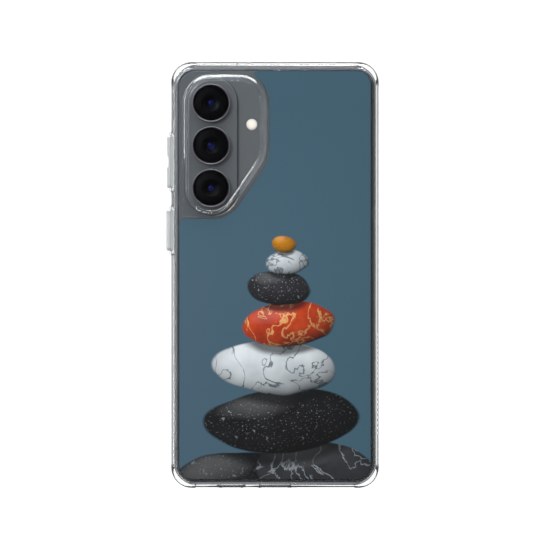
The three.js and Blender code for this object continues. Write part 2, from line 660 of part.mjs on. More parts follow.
function casePrint() {
  const { halfX, halfY, corner } = PRINT;
  const { right, bottom, slant, brow } = PRINT_WINDOW;
  const tipX = brow.x + (halfY - brow.y) / Math.tan(BROW_ANGLE);
  const radii = PRINT_WINDOW_RADII;
  const outline = filletedOutline([
    [halfX, halfY, corner],
    [tipX, halfY, radii.tip],
    [brow.x, brow.y, radii.brow],
    [right, slantAtX(right, slant), radii.knee],
    [slantAtY(bottom, slant), bottom, radii.heel],
    [-halfX, bottom, radii.corner],
    [-halfX, -halfY, corner],
    [halfX, -halfY, corner],
  ]);
  const low = LEVEL.plateTop + PRINT.lift;
  return solidFrom(slab(outline, low, low + PRINT.thickness));
}
addPiece("case_print", casePrint(), finishes.print());

// ---------------------------------------------------------------- centring

// The key covers stand proud on one side only, so the box's centre lies off the case's centre line.
object.position.x = -(POWER_COVER.outer + CASE.halfX) / 2;

export default object;
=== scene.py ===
import itertools
import math
import bmesh
import bpy
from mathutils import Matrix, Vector


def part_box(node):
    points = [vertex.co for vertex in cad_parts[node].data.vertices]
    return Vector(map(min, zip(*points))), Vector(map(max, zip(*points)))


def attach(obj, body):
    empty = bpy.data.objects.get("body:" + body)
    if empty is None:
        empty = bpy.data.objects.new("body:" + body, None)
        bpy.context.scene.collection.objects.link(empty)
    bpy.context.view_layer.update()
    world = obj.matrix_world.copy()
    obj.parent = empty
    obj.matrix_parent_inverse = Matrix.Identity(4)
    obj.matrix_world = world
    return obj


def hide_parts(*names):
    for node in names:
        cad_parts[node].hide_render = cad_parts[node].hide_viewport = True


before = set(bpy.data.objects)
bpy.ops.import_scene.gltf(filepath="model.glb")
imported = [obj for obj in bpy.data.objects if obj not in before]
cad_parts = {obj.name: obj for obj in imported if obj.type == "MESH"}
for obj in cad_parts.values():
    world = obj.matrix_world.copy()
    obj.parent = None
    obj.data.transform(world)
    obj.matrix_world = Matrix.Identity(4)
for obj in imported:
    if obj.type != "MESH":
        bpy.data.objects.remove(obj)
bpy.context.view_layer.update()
bpy.ops.object.select_all(action="DESELECT")

# ---------------------------------------------------------------- camera
# A long lens looks straight down from far above, so that the sides of the case don't spread in the view. The
# phone lies on its screen, and the cameras in its back face up.
MM = 0.001
phone_low, phone_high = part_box("phone_frame")
middle_x = (phone_low.x + phone_high.x) / 2
plate_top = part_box("case_print")[0].z

LENS_MM = 600
SENSOR_MM = 36
VIEW_WIDTH = 196.9 * MM

bpy.ops.object.camera_add(location=(middle_x, 0, plate_top + VIEW_WIDTH * LENS_MM / SENSOR_MM))
camera = bpy.context.object
camera.name = "camera"
camera.data.lens = LENS_MM
camera.data.sensor_width = SENSOR_MM
bpy.context.scene.camera = camera

# ---------------------------------------------------------------- studio
# The object lies on a white table in a grey room that is white low down, where clear plastic bends most of
# what is seen through it. There are four soft boxes: a large one high on the left, a small one in front of it
# for the glints in the lenses, a wide low one beyond the upper end, and a strip along the left.


def linear(code):
    """An sRGB hex colour as the linear RGBA that a shader takes."""
    shares = [int(code[i:i + 2], 16) / 255 for i in (1, 3, 5)]
    return [s / 12.92 if s <= 0.04045 else ((s + 0.055) / 1.055) ** 2.4 for s in shares] + [1]


def link(source, target):
    """Joins the output of one node to the input of another."""
    target.id_data.links.new(source, target)


def add_node(owner, kind, inputs=None, **options):
    """Adds a shader node with its options, and with a value or a link for each input that is named."""
    node = owner.node_tree.nodes.new(kind)
    for name, value in options.items():
        setattr(node, name, value)
    for name, value in (inputs or {}).items():
        if isinstance(value, bpy.types.NodeSocket):
            link(value, node.inputs[name])
        else:
            node.inputs[name].default_value = value
    return node


def new_material(name, settings):
    """A material on one Principled shader with these settings, and that shader."""
    material = bpy.data.materials.new(name)
    material.use_nodes = True
    material.node_tree.nodes.clear()
    surface = add_node(material, "ShaderNodeBsdfPrincipled", settings)
    add_node(material, "ShaderNodeOutputMaterial", {"Surface": surface.outputs[0]})
    return material, surface


def soft_light(name, place, width, height, power):
    """A rectangular soft box that faces the middle of the object."""
    bpy.ops.object.light_add(type="AREA", location=place)
    light = bpy.context.object
    light.name = name
    light.rotation_euler = (Vector((middle_x, 0, 0)) - light.location).to_track_quat("-Z", "Y").to_euler()
    light.data.shape = "RECTANGLE"
    light.data.size = width
    light.data.size_y = height
    light.data.energy = power
    light.visible_camera = False


soft_light("key_box", (-0.42, 0.42, 0.78), 0.90, 0.90, 1.8)
soft_light("small_box", (-0.50, 0.44, 0.66), 0.24, 0.24, 4.0)
soft_light("head_box", (0, 0.88, 0.21), 1.40, 0.34, 20)
soft_light("left_strip", (-0.88, 0.05, 0.25), 0.90, 0.06, 2)

world = bpy.data.worlds.new("grey_room")
bpy.context.scene.world = world
world.use_nodes = True
view = add_node(world, "ShaderNodeTexCoord")
height = add_node(world, "ShaderNodeSeparateXYZ", {"Vector": view.outputs["Generated"]})
share = add_node(world, "ShaderNodeMapRange", {
    "Value": height.outputs["Z"], "From Min": -1.0, "From Max": 1.0})
room = add_node(world, "ShaderNodeValToRGB", {"Fac": share.outputs[0]})
room.color_ramp.elements[0].color = linear("#ffffff")
room.color_ramp.elements[1].color = linear("#606264")
for level, colour in ((0.05, "#ffffff"), (0.085, "#4c4e50"), (0.3, "#5c5e60"), (0.5, "#7a7c7e"),
                      (0.7, "#c0c2c4"), (0.85, "#b4b6b8"), (0.96, "#66686a")):
    room.color_ramp.elements.new(level).color = linear(colour)
walls = world.node_tree.nodes["Background"]
walls.inputs["Strength"].default_value = 1.15
link(room.outputs["Color"], walls.inputs["Color"])
backdrop = add_node(world, "ShaderNodeBackground", {"Color": linear("#ffffff"), "Strength": 1.1})
path = add_node(world, "ShaderNodeLightPath")
seen = add_node(world, "ShaderNodeMixShader", {
    0: path.outputs["Is Camera Ray"], 1: walls.outputs[0], 2: backdrop.outputs[0]})
link(seen.outputs[0], world.node_tree.nodes["World Output"].inputs["Surface"])
bpy.context.scene.view_settings.view_transform = "Standard"

# White laminate is matt and even. Seen straight it is plain white, and it gives off a little light of its
# own, as the lit table of a studio does.
bpy.ops.mesh.primitive_plane_add(size=4)
table = bpy.context.object
table.name = "table"
white_laminate, paint = new_material("white_laminate_table", {
    "Base Color": linear("#f8f8f8"), "Roughness": 1.0, "Specular IOR Level": 0.0,
    "Emission Color": linear("#ffffff"), "Emission Strength": 0.15})
even_white = add_node(white_laminate, "ShaderNodeEmission", {"Color": linear("#ffffff"), "Strength": 1.1})
path = add_node(white_laminate, "ShaderNodeLightPath")
seen = add_node(white_laminate, "ShaderNodeMixShader", {
    0: path.outputs["Is Camera Ray"], 1: paint.outputs[0], 2: even_white.outputs[0]})
link(seen.outputs[0], white_laminate.node_tree.nodes["Material Output"].inputs["Surface"])
table.data.materials.append(white_laminate)
table.visible_transmission = False
table.visible_glossy = False

# ---------------------------------------------------------------- phone: metal frame
# The frame is milled from one block of aluminium, bead blasted and anodised grey. Thin plastic strips part
# it near its corners for the antennas, and it is pierced for the port, the speaker, the tray and the keys.
NEAR = 0.01 * MM         # how close a place is when two corners count as one
CORNER_STEPS = 16
EDGE_STEPS = 6
MIDDLE_Z = 4.5           # height of the openings in the phone's edge


def at(x, y, z):
    """A place in millimetres from the case's centre line and the surface it lies on."""
    return Vector((middle_x + x * MM, y * MM, z * MM))


def block(name, low, high):
    """A box between two corners in millimetres, with its place in its mesh."""
    low, high = at(*low), at(*high)
    bpy.ops.mesh.primitive_cube_add(size=1, location=(low + high) / 2, scale=high - low)
    bpy.ops.object.transform_apply()
    piece = bpy.context.object
    piece.name = piece.data.name = name
    return piece


def edit(piece):
    bpy.ops.object.select_all(action="DESELECT")
    bpy.context.view_layer.objects.active = piece
    piece.select_set(True)
    bpy.ops.object.mode_set(mode="EDIT")


def done():
    bpy.ops.object.mode_set(mode="OBJECT")


def select(kind, test):
    """Selects in edit mode the edges or faces that pass a test."""
    mesh = bpy.context.object.data
    bpy.ops.mesh.select_mode(type=kind)
    bpy.ops.mesh.select_all(action="DESELECT")
    shape = bmesh.from_edit_mesh(mesh)
    for part in {"EDGE": shape.edges, "FACE": shape.faces}[kind]:
        if test(part):
            part.select_set(True)
    shape.select_flush_mode()
    bmesh.update_edit_mesh(mesh)


def round_selected(radius, steps):
    bpy.ops.mesh.bevel(offset=radius * MM, segments=steps, profile=0.5, affect="EDGES", clamp_overlap=False)


def runs_along(axis):
    """A test for edges that run along one axis, 0 to 2."""
    def test(edge):
        run = edge.verts[1].co - edge.verts[0].co
        return abs(run[axis]) > 0.9999 * run.length
    return test


def at_height(z):
    """A test for edges that lie at a height in millimetres."""
    return lambda edge: all(abs(vert.co.z - z * MM) < NEAR for vert in edge.verts)


def rounded_block(name, low, high, corner, over=0, under=0, axis=2):
    """A box with its edges along one axis rounded to `corner`, and its upper and lower rims if asked."""
    piece = block(name, low, high)
    edit(piece)
    select("EDGE", runs_along(axis))
    round_selected(corner, CORNER_STEPS)
    for height, radius in ((high[2], over), (low[2], under)):
        if radius:
            select("EDGE", at_height(height))
            round_selected(radius, EDGE_STEPS)
    done()
    return piece


def centred_block(name, half_x, half_y, low, high, corner, over=0, under=0):
    return rounded_block(name, (-half_x, -half_y, low), (half_x, half_y, high), corner, over, under)


def slot_along_y(name, low_x, high_x, low_y, high_y, half_z):
    """A bar along Y with a round end at each side."""
    low = (low_x, low_y, MIDDLE_Z - half_z)
    high = (high_x, high_y, MIDDLE_Z + half_z)
    return rounded_block(name, low, high, half_z * 0.999, axis=1)


def disc(name, x, y, radius, low, high, sides=96):
    bpy.ops.mesh.primitive_cylinder_add(
        vertices=sides, radius=radius * MM, depth=(high - low) * MM, location=at(x, y, (low + high) / 2))
    bpy.ops.object.transform_apply()
    piece = bpy.context.object
    piece.name = piece.data.name = name
    return piece


def pin_along_y(x, y, radius, depth):
    bpy.ops.mesh.primitive_cylinder_add(
        vertices=24, radius=radius * MM, depth=2 * depth * MM, location=at(x, y, MIDDLE_Z),
        rotation=(math.pi / 2, 0, 0))
    bpy.ops.object.transform_apply()
    return bpy.context.object


def combine(piece, tools, operation):
    """Cuts or joins pieces by a boolean, and deletes the tools."""
    for tool in tools:
        bpy.ops.object.select_all(action="DESELECT")
        bpy.context.view_layer.objects.active = piece
        modifier = piece.modifiers.new(operation, "BOOLEAN")
        modifier.operation = operation
        modifier.solver = "EXACT"
        modifier.object = tool
        bpy.ops.object.modifier_apply(modifier=modifier.name)
        bpy.data.objects.remove(tool)


def cut(piece, *tools):
    combine(piece, tools, "DIFFERENCE")


def join(piece, *tools):
    combine(piece, tools, "UNION")


def copy_of(piece, name):
    twin = piece.copy()
    twin.data = piece.data.copy()
    twin.name = twin.data.name = name
    bpy.context.scene.collection.objects.link(twin)
    return twin


def grained(name, settings, grain, tones, detail=2.0, spread=(0.0, 1.0), relief=None):
    """A material whose colour drifts between two tones in grains of a size in millimetres. The spread is the
    part of the noise over which it drifts. The relief is the strength and the depth in millimetres of the
    grains as bumps."""
    material, surface = new_material(name, settings)
    coords = add_node(material, "ShaderNodeTexCoord")
    noise = add_node(material, "ShaderNodeTexNoise", {
        "Vector": coords.outputs["Object"], "Scale": 1 / (grain * MM), "Detail": detail})
    ramp = add_node(material, "ShaderNodeValToRGB", {"Fac": noise.outputs["Fac"]})
    for stop, position, tone in zip(ramp.color_ramp.elements, spread, tones):
        stop.position = position
        stop.color = linear(tone)
    link(ramp.outputs["Color"], surface.inputs["Base Color"])
    if relief:
        bumps = add_node(material, "ShaderNodeBump", {
            "Height": noise.outputs["Fac"], "Strength": relief[0], "Distance": relief[1] * MM})
        link(bumps.outputs["Normal"], surface.inputs["Normal"])
    return material


def finish(piece, material, body, angle=32):
    """Smooths the round faces, keeps the flat ones flat, and gives the piece its finish and its body."""
    bpy.ops.object.select_all(action="DESELECT")
    bpy.context.view_layer.objects.active = piece
    piece.select_set(True)
    bpy.ops.object.shade_smooth_by_angle(angle=math.radians(angle))
    modifier = piece.modifiers.new("flat faces stay flat", "WEIGHTED_NORMAL")
    modifier.keep_sharp = True
    bpy.ops.object.modifier_apply(modifier=modifier.name)
    piece.data.materials.clear()
    piece.data.materials.append(material)
    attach(piece, body)


PHONE = "phone_in_case"
PHONE_HALF_X = 35.85
PHONE_HALF_Y = 74.8
PHONE_CORNER = 7.4
PHONE_FRONT = 0.9
PHONE_BACK = 8.1
SIDE_RIM = 1.0
END_RIM = 1.4
BACK_GLASS_FLOOR = 7.4
SCREEN_RIM = 0.8
SCREEN_ROOF = 1.7
LENS_X = -22.9
LENS_YS = (61.6, 46.35, 31.1)
WELL_RADIUS = 6.35
WELL_FLOOR = 5.05
FLASH_X = -8.3
FLASH_Y = 53.9
FLASH_WELL = 2.3
KEYS = {"volume": (31.9, 49.1), "power": (9.4, 22.7)}
PAST = 1.0               # how far a cutting tool runs on past the face it opens

frame_blank = centred_block("phone_frame_milled", PHONE_HALF_X, PHONE_HALF_Y, PHONE_FRONT, PHONE_BACK,
                            PHONE_CORNER, over=1.25, under=0.9)
cut(
    frame_blank,
    centred_block("glass_seat", PHONE_HALF_X - SIDE_RIM, PHONE_HALF_Y - END_RIM, BACK_GLASS_FLOOR,
                  PHONE_BACK + PAST, PHONE_CORNER - END_RIM),
    centred_block("screen_seat", PHONE_HALF_X - SCREEN_RIM, PHONE_HALF_Y - SCREEN_RIM, PHONE_FRONT - PAST,
                  SCREEN_ROOF, PHONE_CORNER - SCREEN_RIM),
)
ANTENNA_SLIT = 0.9
ANTENNA_DEPTH = 1.1
SLIT_TOP = 9             # above the frame, so that a slit runs through all of its height
antenna_slits = []
for side in (-1, 1):
    for y in (-62.1, 62.1):
        inner, outer = sorted((side * (PHONE_HALF_X - ANTENNA_DEPTH), side * (PHONE_HALF_X + PAST)))
        antenna_slits.append(((inner, y - ANTENNA_SLIT / 2, 0), (outer, y + ANTENNA_SLIT / 2, SLIT_TOP)))
for side, x in ((1, 9.3), (-1, -25.0), (-1, 26.6)):
    inner, outer = sorted((side * (PHONE_HALF_Y - ANTENNA_DEPTH), side * (PHONE_HALF_Y + PAST)))
    antenna_slits.append(((x - ANTENNA_SLIT / 2, inner, 0), (x + ANTENNA_SLIT / 2, outer, SLIT_TOP)))
antenna_strips = []
for number, (low, high) in enumerate(antenna_slits, 1):
    strip = copy_of(frame_blank, f"antenna_strip_{number}")
    combine(strip, [block("slit", low, high)], "INTERSECT")
    cut(frame_blank, block("slit", low, high))
    antenna_strips.append(strip)
PINHOLE_RADIUS = 0.45
PINHOLE_DEPTH = 2.0
cut(
    frame_blank,
    *(disc("lens_well", LENS_X, y, WELL_RADIUS, WELL_FLOOR, PHONE_BACK) for y in LENS_YS),
    disc("flash_well", FLASH_X, FLASH_Y, FLASH_WELL, 7.1, PHONE_BACK),
    slot_along_y("port_slot", -4.5, 4.5, -PHONE_HALF_Y - PAST, 7.0 - PHONE_HALF_Y, 1.65),
    slot_along_y("speaker_slot", -19.5, -11.7, -PHONE_HALF_Y - PAST, 1.6 - PHONE_HALF_Y, 0.65),
    slot_along_y("tray_slot", 11.08, 23.92, -PHONE_HALF_Y - PAST, 4.62 - PHONE_HALF_Y, 1.32),
    *(pin_along_y(x, y, PINHOLE_RADIUS, PINHOLE_DEPTH)
      for x, y in ((25.4, -PHONE_HALF_Y), (8.6, -PHONE_HALF_Y), (-11.4, PHONE_HALF_Y))),
    block("earpiece", (-5.2, PHONE_HALF_Y - SCREEN_RIM - 0.1, 0), (5.2, PHONE_HALF_Y - 0.4, SCREEN_ROOF)),
    *(block("key_pocket", (-36.3, low - 0.3, 3.0), (-34.6, high + 0.3, 6.0)) for low, high in KEYS.values()),
)

# Bead blasting leaves a fine even grain that softens the metal's reflection. Its real pits of about 0.05 mm
# are drawn at 0.25 mm, the finest that still shows.
anodised = grained("bead_blasted_anodised_aluminium", {"Metallic": 1.0, "Roughness": 0.38}, 0.25,
                   ("#5c5e62", "#6a6c71"), detail=3.0, spread=(0.35, 0.65), relief=(0.25, 0.02))
finish(frame_blank, anodised, PHONE)
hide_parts("phone_frame")

# Moulded plastic scatters light evenly, so the strips are darker and duller than the metal beside them. The
# specks of its filler are drawn at 0.4 mm, coarser than real.
strip_plastic = grained("moulded_antenna_plastic", {"Roughness": 0.5, "IOR": 1.5}, 0.4,
                        ("#303235", "#3c3e42"))
for strip in antenna_strips:
    finish(strip, strip_plastic, PHONE)

# ---------------------------------------------------------------- phone: back glass and its gasket
# The back is one sheet of glass, etched matt outside and printed grey inside, glued into the frame in a
# dark rubber gasket. Its rim is ground round.
GLASS_CORNER = PHONE_CORNER - 1.6
back_glass_piece = centred_block("back_glass_sheet", 34.25, 73.05, 7.45, PHONE_BACK, GLASS_CORNER, over=0.22)
cut(
    back_glass_piece,
    *(disc("lens_hole", LENS_X, y, WELL_RADIUS, 7, 9) for y in LENS_YS),
    disc("flash_hole", FLASH_X, FLASH_Y, FLASH_WELL, 7, 9),
)
# Etching frosts the glass, so that its highlights are wide and soft. Its pits of a few hundredths of a
# millimetre are drawn at 0.3 mm, the finest that still shows.
ETCH_GRAIN = 0.3
ETCH_RELIEF = (0.15, 0.01)
etched_glass = grained("etched_back_glass", {"Roughness": 0.42, "IOR": 1.5}, ETCH_GRAIN,
                       ("#4c5053", "#515558"), detail=4.0, relief=ETCH_RELIEF)
finish(back_glass_piece, etched_glass, PHONE)
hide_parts("back_glass")

gasket = centred_block("back_glass_gasket", 34.83, 73.38, 7.42, 7.95, GLASS_CORNER + 0.18)
cut(gasket, centred_block("gasket_hole", 34.27, 73.07, 7, 9, GLASS_CORNER + 0.02))
# Rubber is matt and nearly black, with no highlight, so it reads as a thin dark line. Its mottle is drawn at
# 0.8 mm, coarser than real.
rubber = grained("black_gasket_rubber", {"Roughness": 0.7, "IOR": 1.5}, 0.8, ("#141517", "#1e2022"))
finish(gasket, rubber, PHONE)

# ---------------------------------------------------------------- phone: camera plateau
# One raised pad of the same etched glass carries the three cameras. Its rim is ground round, and a thin black
# ring round its foot draws the dark line where it meets the back, partly a joint and partly painted shade.
plateau = rounded_block("camera_plateau_glass", (-32.35, 21.65, 8.15), (-13.45, 71.05, 9.1), 9.4, over=0.35)
cut(plateau, *(disc("lens_hole", LENS_X, y, WELL_RADIUS, 7.5, 10) for y in LENS_YS))
# The pad is etched a little finer than the back, so it is a touch darker and shinier.
plateau_glass = grained("etched_plateau_glass", {"Roughness": 0.36, "IOR": 1.5}, ETCH_GRAIN,
                        ("#4a4e51", "#4f5356"), detail=4.0, relief=ETCH_RELIEF)
finish(plateau, plateau_glass, PHONE)
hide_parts("camera_plateau")

# A black ring round the pad's foot: partly the joint and partly painted shade.
seam_and_shade_ring = rounded_block("plateau_seam_and_shade_ring", (-32.55, 21.45, 8.0), (-13.25, 71.25, 8.13), 9.6)
cut(seam_and_shade_ring, rounded_block("seam_hole", (-32.25, 21.75, 7.5), (-13.55, 70.95, 9.0), 9.3))
finish(seam_and_shade_ring, rubber, PHONE)

# ---------------------------------------------------------------- phone: three cameras
# Each camera is a stepped black barrel with a coated lens at its throat, under a flat cover glass in a thin
# machined ring.


def turned(name, x, y, profile, steps=96):
    """Spins a profile of (radius, height) corners about an upright axis."""
    start = profile[0]
    bpy.ops.mesh.primitive_plane_add(size=MM, location=at(x, y, start[1]))
    bpy.ops.object.transform_apply()
    piece = bpy.context.object
    piece.name = piece.data.name = name
    edit(piece)
    bpy.ops.mesh.select_mode(type="VERT")
    bpy.ops.mesh.select_all(action="SELECT")
    bpy.ops.mesh.merge(type="CENTER")
    bpy.ops.mesh.select_all(action="SELECT")
    bpy.ops.transform.translate(value=(start[0] * MM, 0, 0))
    for before, after in zip(profile, profile[1:]):
        step = ((after[0] - before[0]) * MM, 0, (after[1] - before[1]) * MM)
        bpy.ops.mesh.extrude_region_move(TRANSFORM_OT_translate={"value": step})
    bpy.ops.mesh.select_all(action="SELECT")
    bpy.ops.mesh.spin(steps=steps, angle=2 * math.pi, center=at(x, y, 0), axis=(0, 0, 1))
    bpy.ops.mesh.select_all(action="SELECT")
    bpy.ops.mesh.remove_doubles(threshold=NEAR / 4)
    bpy.ops.mesh.normals_make_consistent(inside=False)
    done()
    return piece


def round_edges(piece, test, radius, steps):
    """Rounds the edges of a piece that pass a test."""
    edit(piece)
    select("EDGE", test)
    round_selected(radius, steps)
    done()


RING_INNER = 6.5
RING_OUTER = 6.85
RING_FOOT = 9.15
RING_TOP = 10.6
PANE_TOP = 10.4
ring_profile = [
    (RING_INNER, RING_FOOT), (RING_OUTER, RING_FOOT), (RING_OUTER, RING_TOP - 0.2),
    (RING_OUTER - 0.04, RING_TOP - 0.08), (RING_OUTER - 0.12, RING_TOP), (RING_INNER + 0.06, RING_TOP),
    (RING_INNER, RING_TOP - 0.06), (RING_INNER, RING_FOOT),
]
barrel_profile = [
    (0, 5.1), (6.05, 5.1), (6.05, 9.2), (5.9, 9.3), (4.6, 9.62), (3.3, 9.82), (3.15, 9.8), (3.05, 9.66),
    (3.05, 9.2), (2.7, 9.1), (2.6, 8.7), (1.7, 8.5), (1.35, 8.3), (1.35, 7.0), (0, 7.0),
]
# The lens is a dome in a hollow: its front rises in the middle, and curves up again to its rim.
DOME_RADIUS = 1.6
ELEMENT_FOOT = 7.02
ELEMENT_RADIUS = 1.25
CUP_FLOOR = 8.15
CUP_RADIUS = 0.84
CUP_CURVE = 0.31
element_profile = [(0, ELEMENT_FOOT), (ELEMENT_RADIUS, ELEMENT_FOOT)]
for i in range(10):
    reach = ELEMENT_RADIUS - (ELEMENT_RADIUS - CUP_RADIUS) * i / 9
    element_profile.append((reach, CUP_FLOOR + (reach - CUP_RADIUS) ** 2 / (2 * CUP_CURVE)))
dome_foot = math.sqrt(DOME_RADIUS ** 2 - CUP_RADIUS ** 2)
for i in range(1, 13):
    reach = CUP_RADIUS * (12 - i) / 12
    element_profile.append((reach, CUP_FLOOR + math.sqrt(DOME_RADIUS ** 2 - reach ** 2) - dome_foot))

# Fine turning and anodising leave the rings satin, with a soft highlight along the rim. Their turning marks
# are drawn as a grain of 0.5 mm, coarser than real.
ring_metal = grained("satin_anodised_ring", {"Metallic": 1.0, "Roughness": 0.45}, 0.5,
                     ("#737077", "#7b7880"))


def let_through(material, rays, tint):
    """Lets some kinds of ray pass straight through a clear material, with a tint, so that it throws no dark
    shadow on what it covers."""
    shader = material.node_tree.nodes["Principled BSDF"]
    path = add_node(material, "ShaderNodeLightPath")
    open_way = add_node(material, "ShaderNodeBsdfTransparent", {"Color": linear(tint)})
    for ray in rays:
        shader = add_node(material, "ShaderNodeMixShader", {
            0: path.outputs[ray], 1: shader.outputs[0], 2: open_way.outputs[0]})
    link(shader.outputs[0], material.node_tree.nodes["Material Output"].inputs["Surface"])


# Polished glass, coated on both faces against reflections. The coatings leave it about the reflection of a
# glass of IOR 1.12, so it is given that, and the lens below shows through. Its tint drifts over 6 mm.
cover_glass = grained("coated_cover_glass", {
    "Roughness": 0.01, "IOR": 1.12, "Transmission Weight": 1.0}, 6, ("#e6e8ee", "#ecedf2"))
let_through(cover_glass, ["Is Shadow Ray"], "#eef0f4")

# The barrels are painted satin black to swallow stray light, and their steps hardly show. The paint's grain
# is drawn at 0.3 mm, coarser than real.
barrel_black = grained("satin_black_barrel", {
    "Roughness": 0.4, "IOR": 1.45, "Specular IOR Level": 0.08}, 0.3, ("#020202", "#040404"))

# A coated lens over a dark barrel looks black, with small blue glints. The high IOR and the blue tint of its
# reflection stand for its coatings.
coated_lens = grained("blue_coated_lens", {
    "Roughness": 0.1, "IOR": 2.2, "Specular IOR Level": 0.4, "Specular Tint": linear("#6c7cff")}, 2,
    ("#020206", "#04040c"))

for number, y in enumerate(LENS_YS, 1):
    ring = turned(f"lens_ring_turned_{number}", LENS_X, y, ring_profile)
    finish(ring, ring_metal, PHONE)
    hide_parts(f"lens_ring_{number}")
    barrel = turned(f"lens_barrel_{number}", LENS_X, y, barrel_profile)
    finish(barrel, barrel_black, PHONE, angle=20)
    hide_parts(f"lens_module_{number}")
    element = turned(f"lens_dome_{number}", LENS_X, y, element_profile)
    finish(element, coated_lens, PHONE)
    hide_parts(f"lens_element_{number}")
    pane = disc(f"lens_cover_glass_{number}", LENS_X, y, RING_INNER - 0.05, 10.0, PANE_TOP)
    round_edges(pane, at_height(PANE_TOP), 0.1, 3)
    finish(pane, cover_glass, PHONE)
    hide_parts(f"lens_glass_{number}")

# ---------------------------------------------------------------- phone: flash
# The flash is a round lens of milky plastic over two white diodes, with a thin grey collar.
FLASH_FOOT = 7.2
FLASH_TOP = 8.1
flash_profile = [
    (0, FLASH_FOOT), (2.02, FLASH_FOOT), (2.02, 7.98), (1.9, 8.06), (1.5, FLASH_TOP), (0, FLASH_TOP),
]
flash = turned("flash_diffuser_lens", FLASH_X, FLASH_Y, flash_profile)
# Milky plastic scatters light: it is warm over the diodes and white round them, and darkens to grey towards
# its rim, which is painted shade.
milky, surface = new_material("milky_flash_plastic", {"Roughness": 0.35, "IOR": 1.49})
coords = add_node(milky, "ShaderNodeTexCoord")
centre = add_node(milky, "ShaderNodeMapping", {
    "Vector": coords.outputs["Object"], "Location": -at(FLASH_X, FLASH_Y, FLASH_TOP)})
reach = add_node(milky, "ShaderNodeVectorMath", {0: centre.outputs["Vector"]}, operation="LENGTH")
share = add_node(milky, "ShaderNodeMath", {
    0: reach.outputs["Value"], 1: 1 / (2.1 * MM)}, operation="MULTIPLY")
ramp = add_node(milky, "ShaderNodeValToRGB", {"Fac": share.outputs[0]})
ramp.color_ramp.elements[0].color = linear("#efdcae")
# The grey at the end of the ramp, at the rim, is painted shade.
ramp.color_ramp.elements[1].color = linear("#8d8b88")
for position, colour in ((0.45, "#dedad2"), (0.8, "#c6c3bf")):
    ramp.color_ramp.elements.new(position).color = linear(colour)
link(ramp.outputs["Color"], surface.inputs["Base Color"])
finish(flash, milky, PHONE)
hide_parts("flash_lens")
collar_profile = [
    (2.04, FLASH_FOOT), (2.26, FLASH_FOOT), (2.26, 8.02), (2.2, 8.08), (2.1, 8.08), (2.04, 8.02),
    (2.04, FLASH_FOOT),
]
collar = turned("flash_collar", FLASH_X, FLASH_Y, collar_profile)
finish(collar, ring_metal, PHONE)

# ---------------------------------------------------------------- phone: charging port
# A drawn steel shell is pressed into the slot at the bottom edge. A tongue of black plastic stands in its
# middle with a row of gold contacts on each face.
port_shell = slot_along_y("port_shell_drawn", -4.35, 4.35, -74.5, -67.85, 1.5)
cut(port_shell, slot_along_y("port_hollow", -4.15, 4.15, -76, -68.05, 1.3))
# Drawing leaves fine marks along the steel, seen as paler and darker streaks. Real marks of about 0.02 mm are
# drawn at 0.2 mm.
steel, surface = new_material("drawn_stainless_steel", {"Metallic": 1.0, "Roughness": 0.3})
coords = add_node(steel, "ShaderNodeTexCoord")
DRAW_MARK = 0.2 * MM
stretch = add_node(steel, "ShaderNodeMapping", {
    "Vector": coords.outputs["Object"], "Scale": (1 / DRAW_MARK, 0.05 / DRAW_MARK, 1 / DRAW_MARK)})
marks = add_node(steel, "ShaderNodeTexNoise", {
    "Vector": stretch.outputs["Vector"], "Scale": 1.0, "Detail": 2.0})
ramp = add_node(steel, "ShaderNodeValToRGB", {"Fac": marks.outputs["Fac"]})
ramp.color_ramp.elements[0].color = linear("#85878b")
ramp.color_ramp.elements[1].color = linear("#a3a5a8")
link(ramp.outputs["Color"], surface.inputs["Base Color"])
finish(port_shell, steel, PHONE)
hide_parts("port_shell")

tongue = rounded_block("port_tongue_moulded", (-3.35, -73.7, 4.15), (3.35, -68.15, 4.85), 0.34, axis=1)
# A spark-eroded mould leaves the plastic satin, with a fine grain. It is drawn at 0.25 mm, coarser than real.
black_plastic = grained("moulded_black_plastic", {"Roughness": 0.45, "IOR": 1.5}, 0.25,
                        ("#101012", "#1a1a1d"))
finish(tongue, black_plastic, PHONE)
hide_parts("port_tongue")


def repeat(piece, count, step):
    """Repeats a piece along a step in millimetres."""
    bpy.context.view_layer.objects.active = piece
    array = piece.modifiers.new("array", "ARRAY")
    array.count = count
    array.use_relative_offset = False
    array.use_constant_offset = True
    array.constant_offset_displace = [length * MM for length in step]
    bpy.ops.object.modifier_apply(modifier=array.name)


# Gold plating is bright and yellow, and paler where plugs have rubbed it, in patches of about 0.3 mm.
gold = grained("gold_plated_contact", {"Metallic": 1.0, "Roughness": 0.25}, 0.3, ("#c9a24c", "#e2bf6a"))
for side, face in (("front", 4.13), ("back", 4.83)):
    contacts = block(f"port_contacts_{side}", (-2.87, -73.5, face), (-2.63, -70.5, face + 0.04))
    round_edges(contacts, runs_along(1), 0.01, 1)
    repeat(contacts, 12, (0.5, 0, 0))
    finish(contacts, gold, PHONE)

# ---------------------------------------------------------------- phone: speaker grille, card tray, earpiece
# A punched steel strip closes the speaker slot. The card tray is milled from the frame's aluminium and sits
# flush in its slot. A finer strip closes the earpiece slit above the screen.


def punched(piece, first, radius, pitch, count, rows, axis):
    """Punches rows of round holes along X through a strip. The holes run along an axis, 1 or 2."""
    turn = (math.pi / 2, 0, 0) if axis == 1 else (0, 0, 0)
    across = (0, 0, pitch) if axis == 1 else (0, pitch, 0)
    bpy.ops.mesh.primitive_cylinder_add(
        vertices=10, radius=radius * MM, depth=2 * MM, location=at(*first), rotation=turn)
    bpy.ops.object.transform_apply()
    pins = bpy.context.object
    repeat(pins, count, (pitch, 0, 0))
    repeat(pins, rows, across)
    cut(piece, pins)


grille = slot_along_y("speaker_grille_punched", -19.4, -11.8, -73.75, -73.25, 0.55)
punched(grille, (-18.95, -73.5, MIDDLE_Z - 0.28), 0.16, 0.56, 13, 2, 1)
finish(grille, steel, PHONE)
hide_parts("speaker_grille")

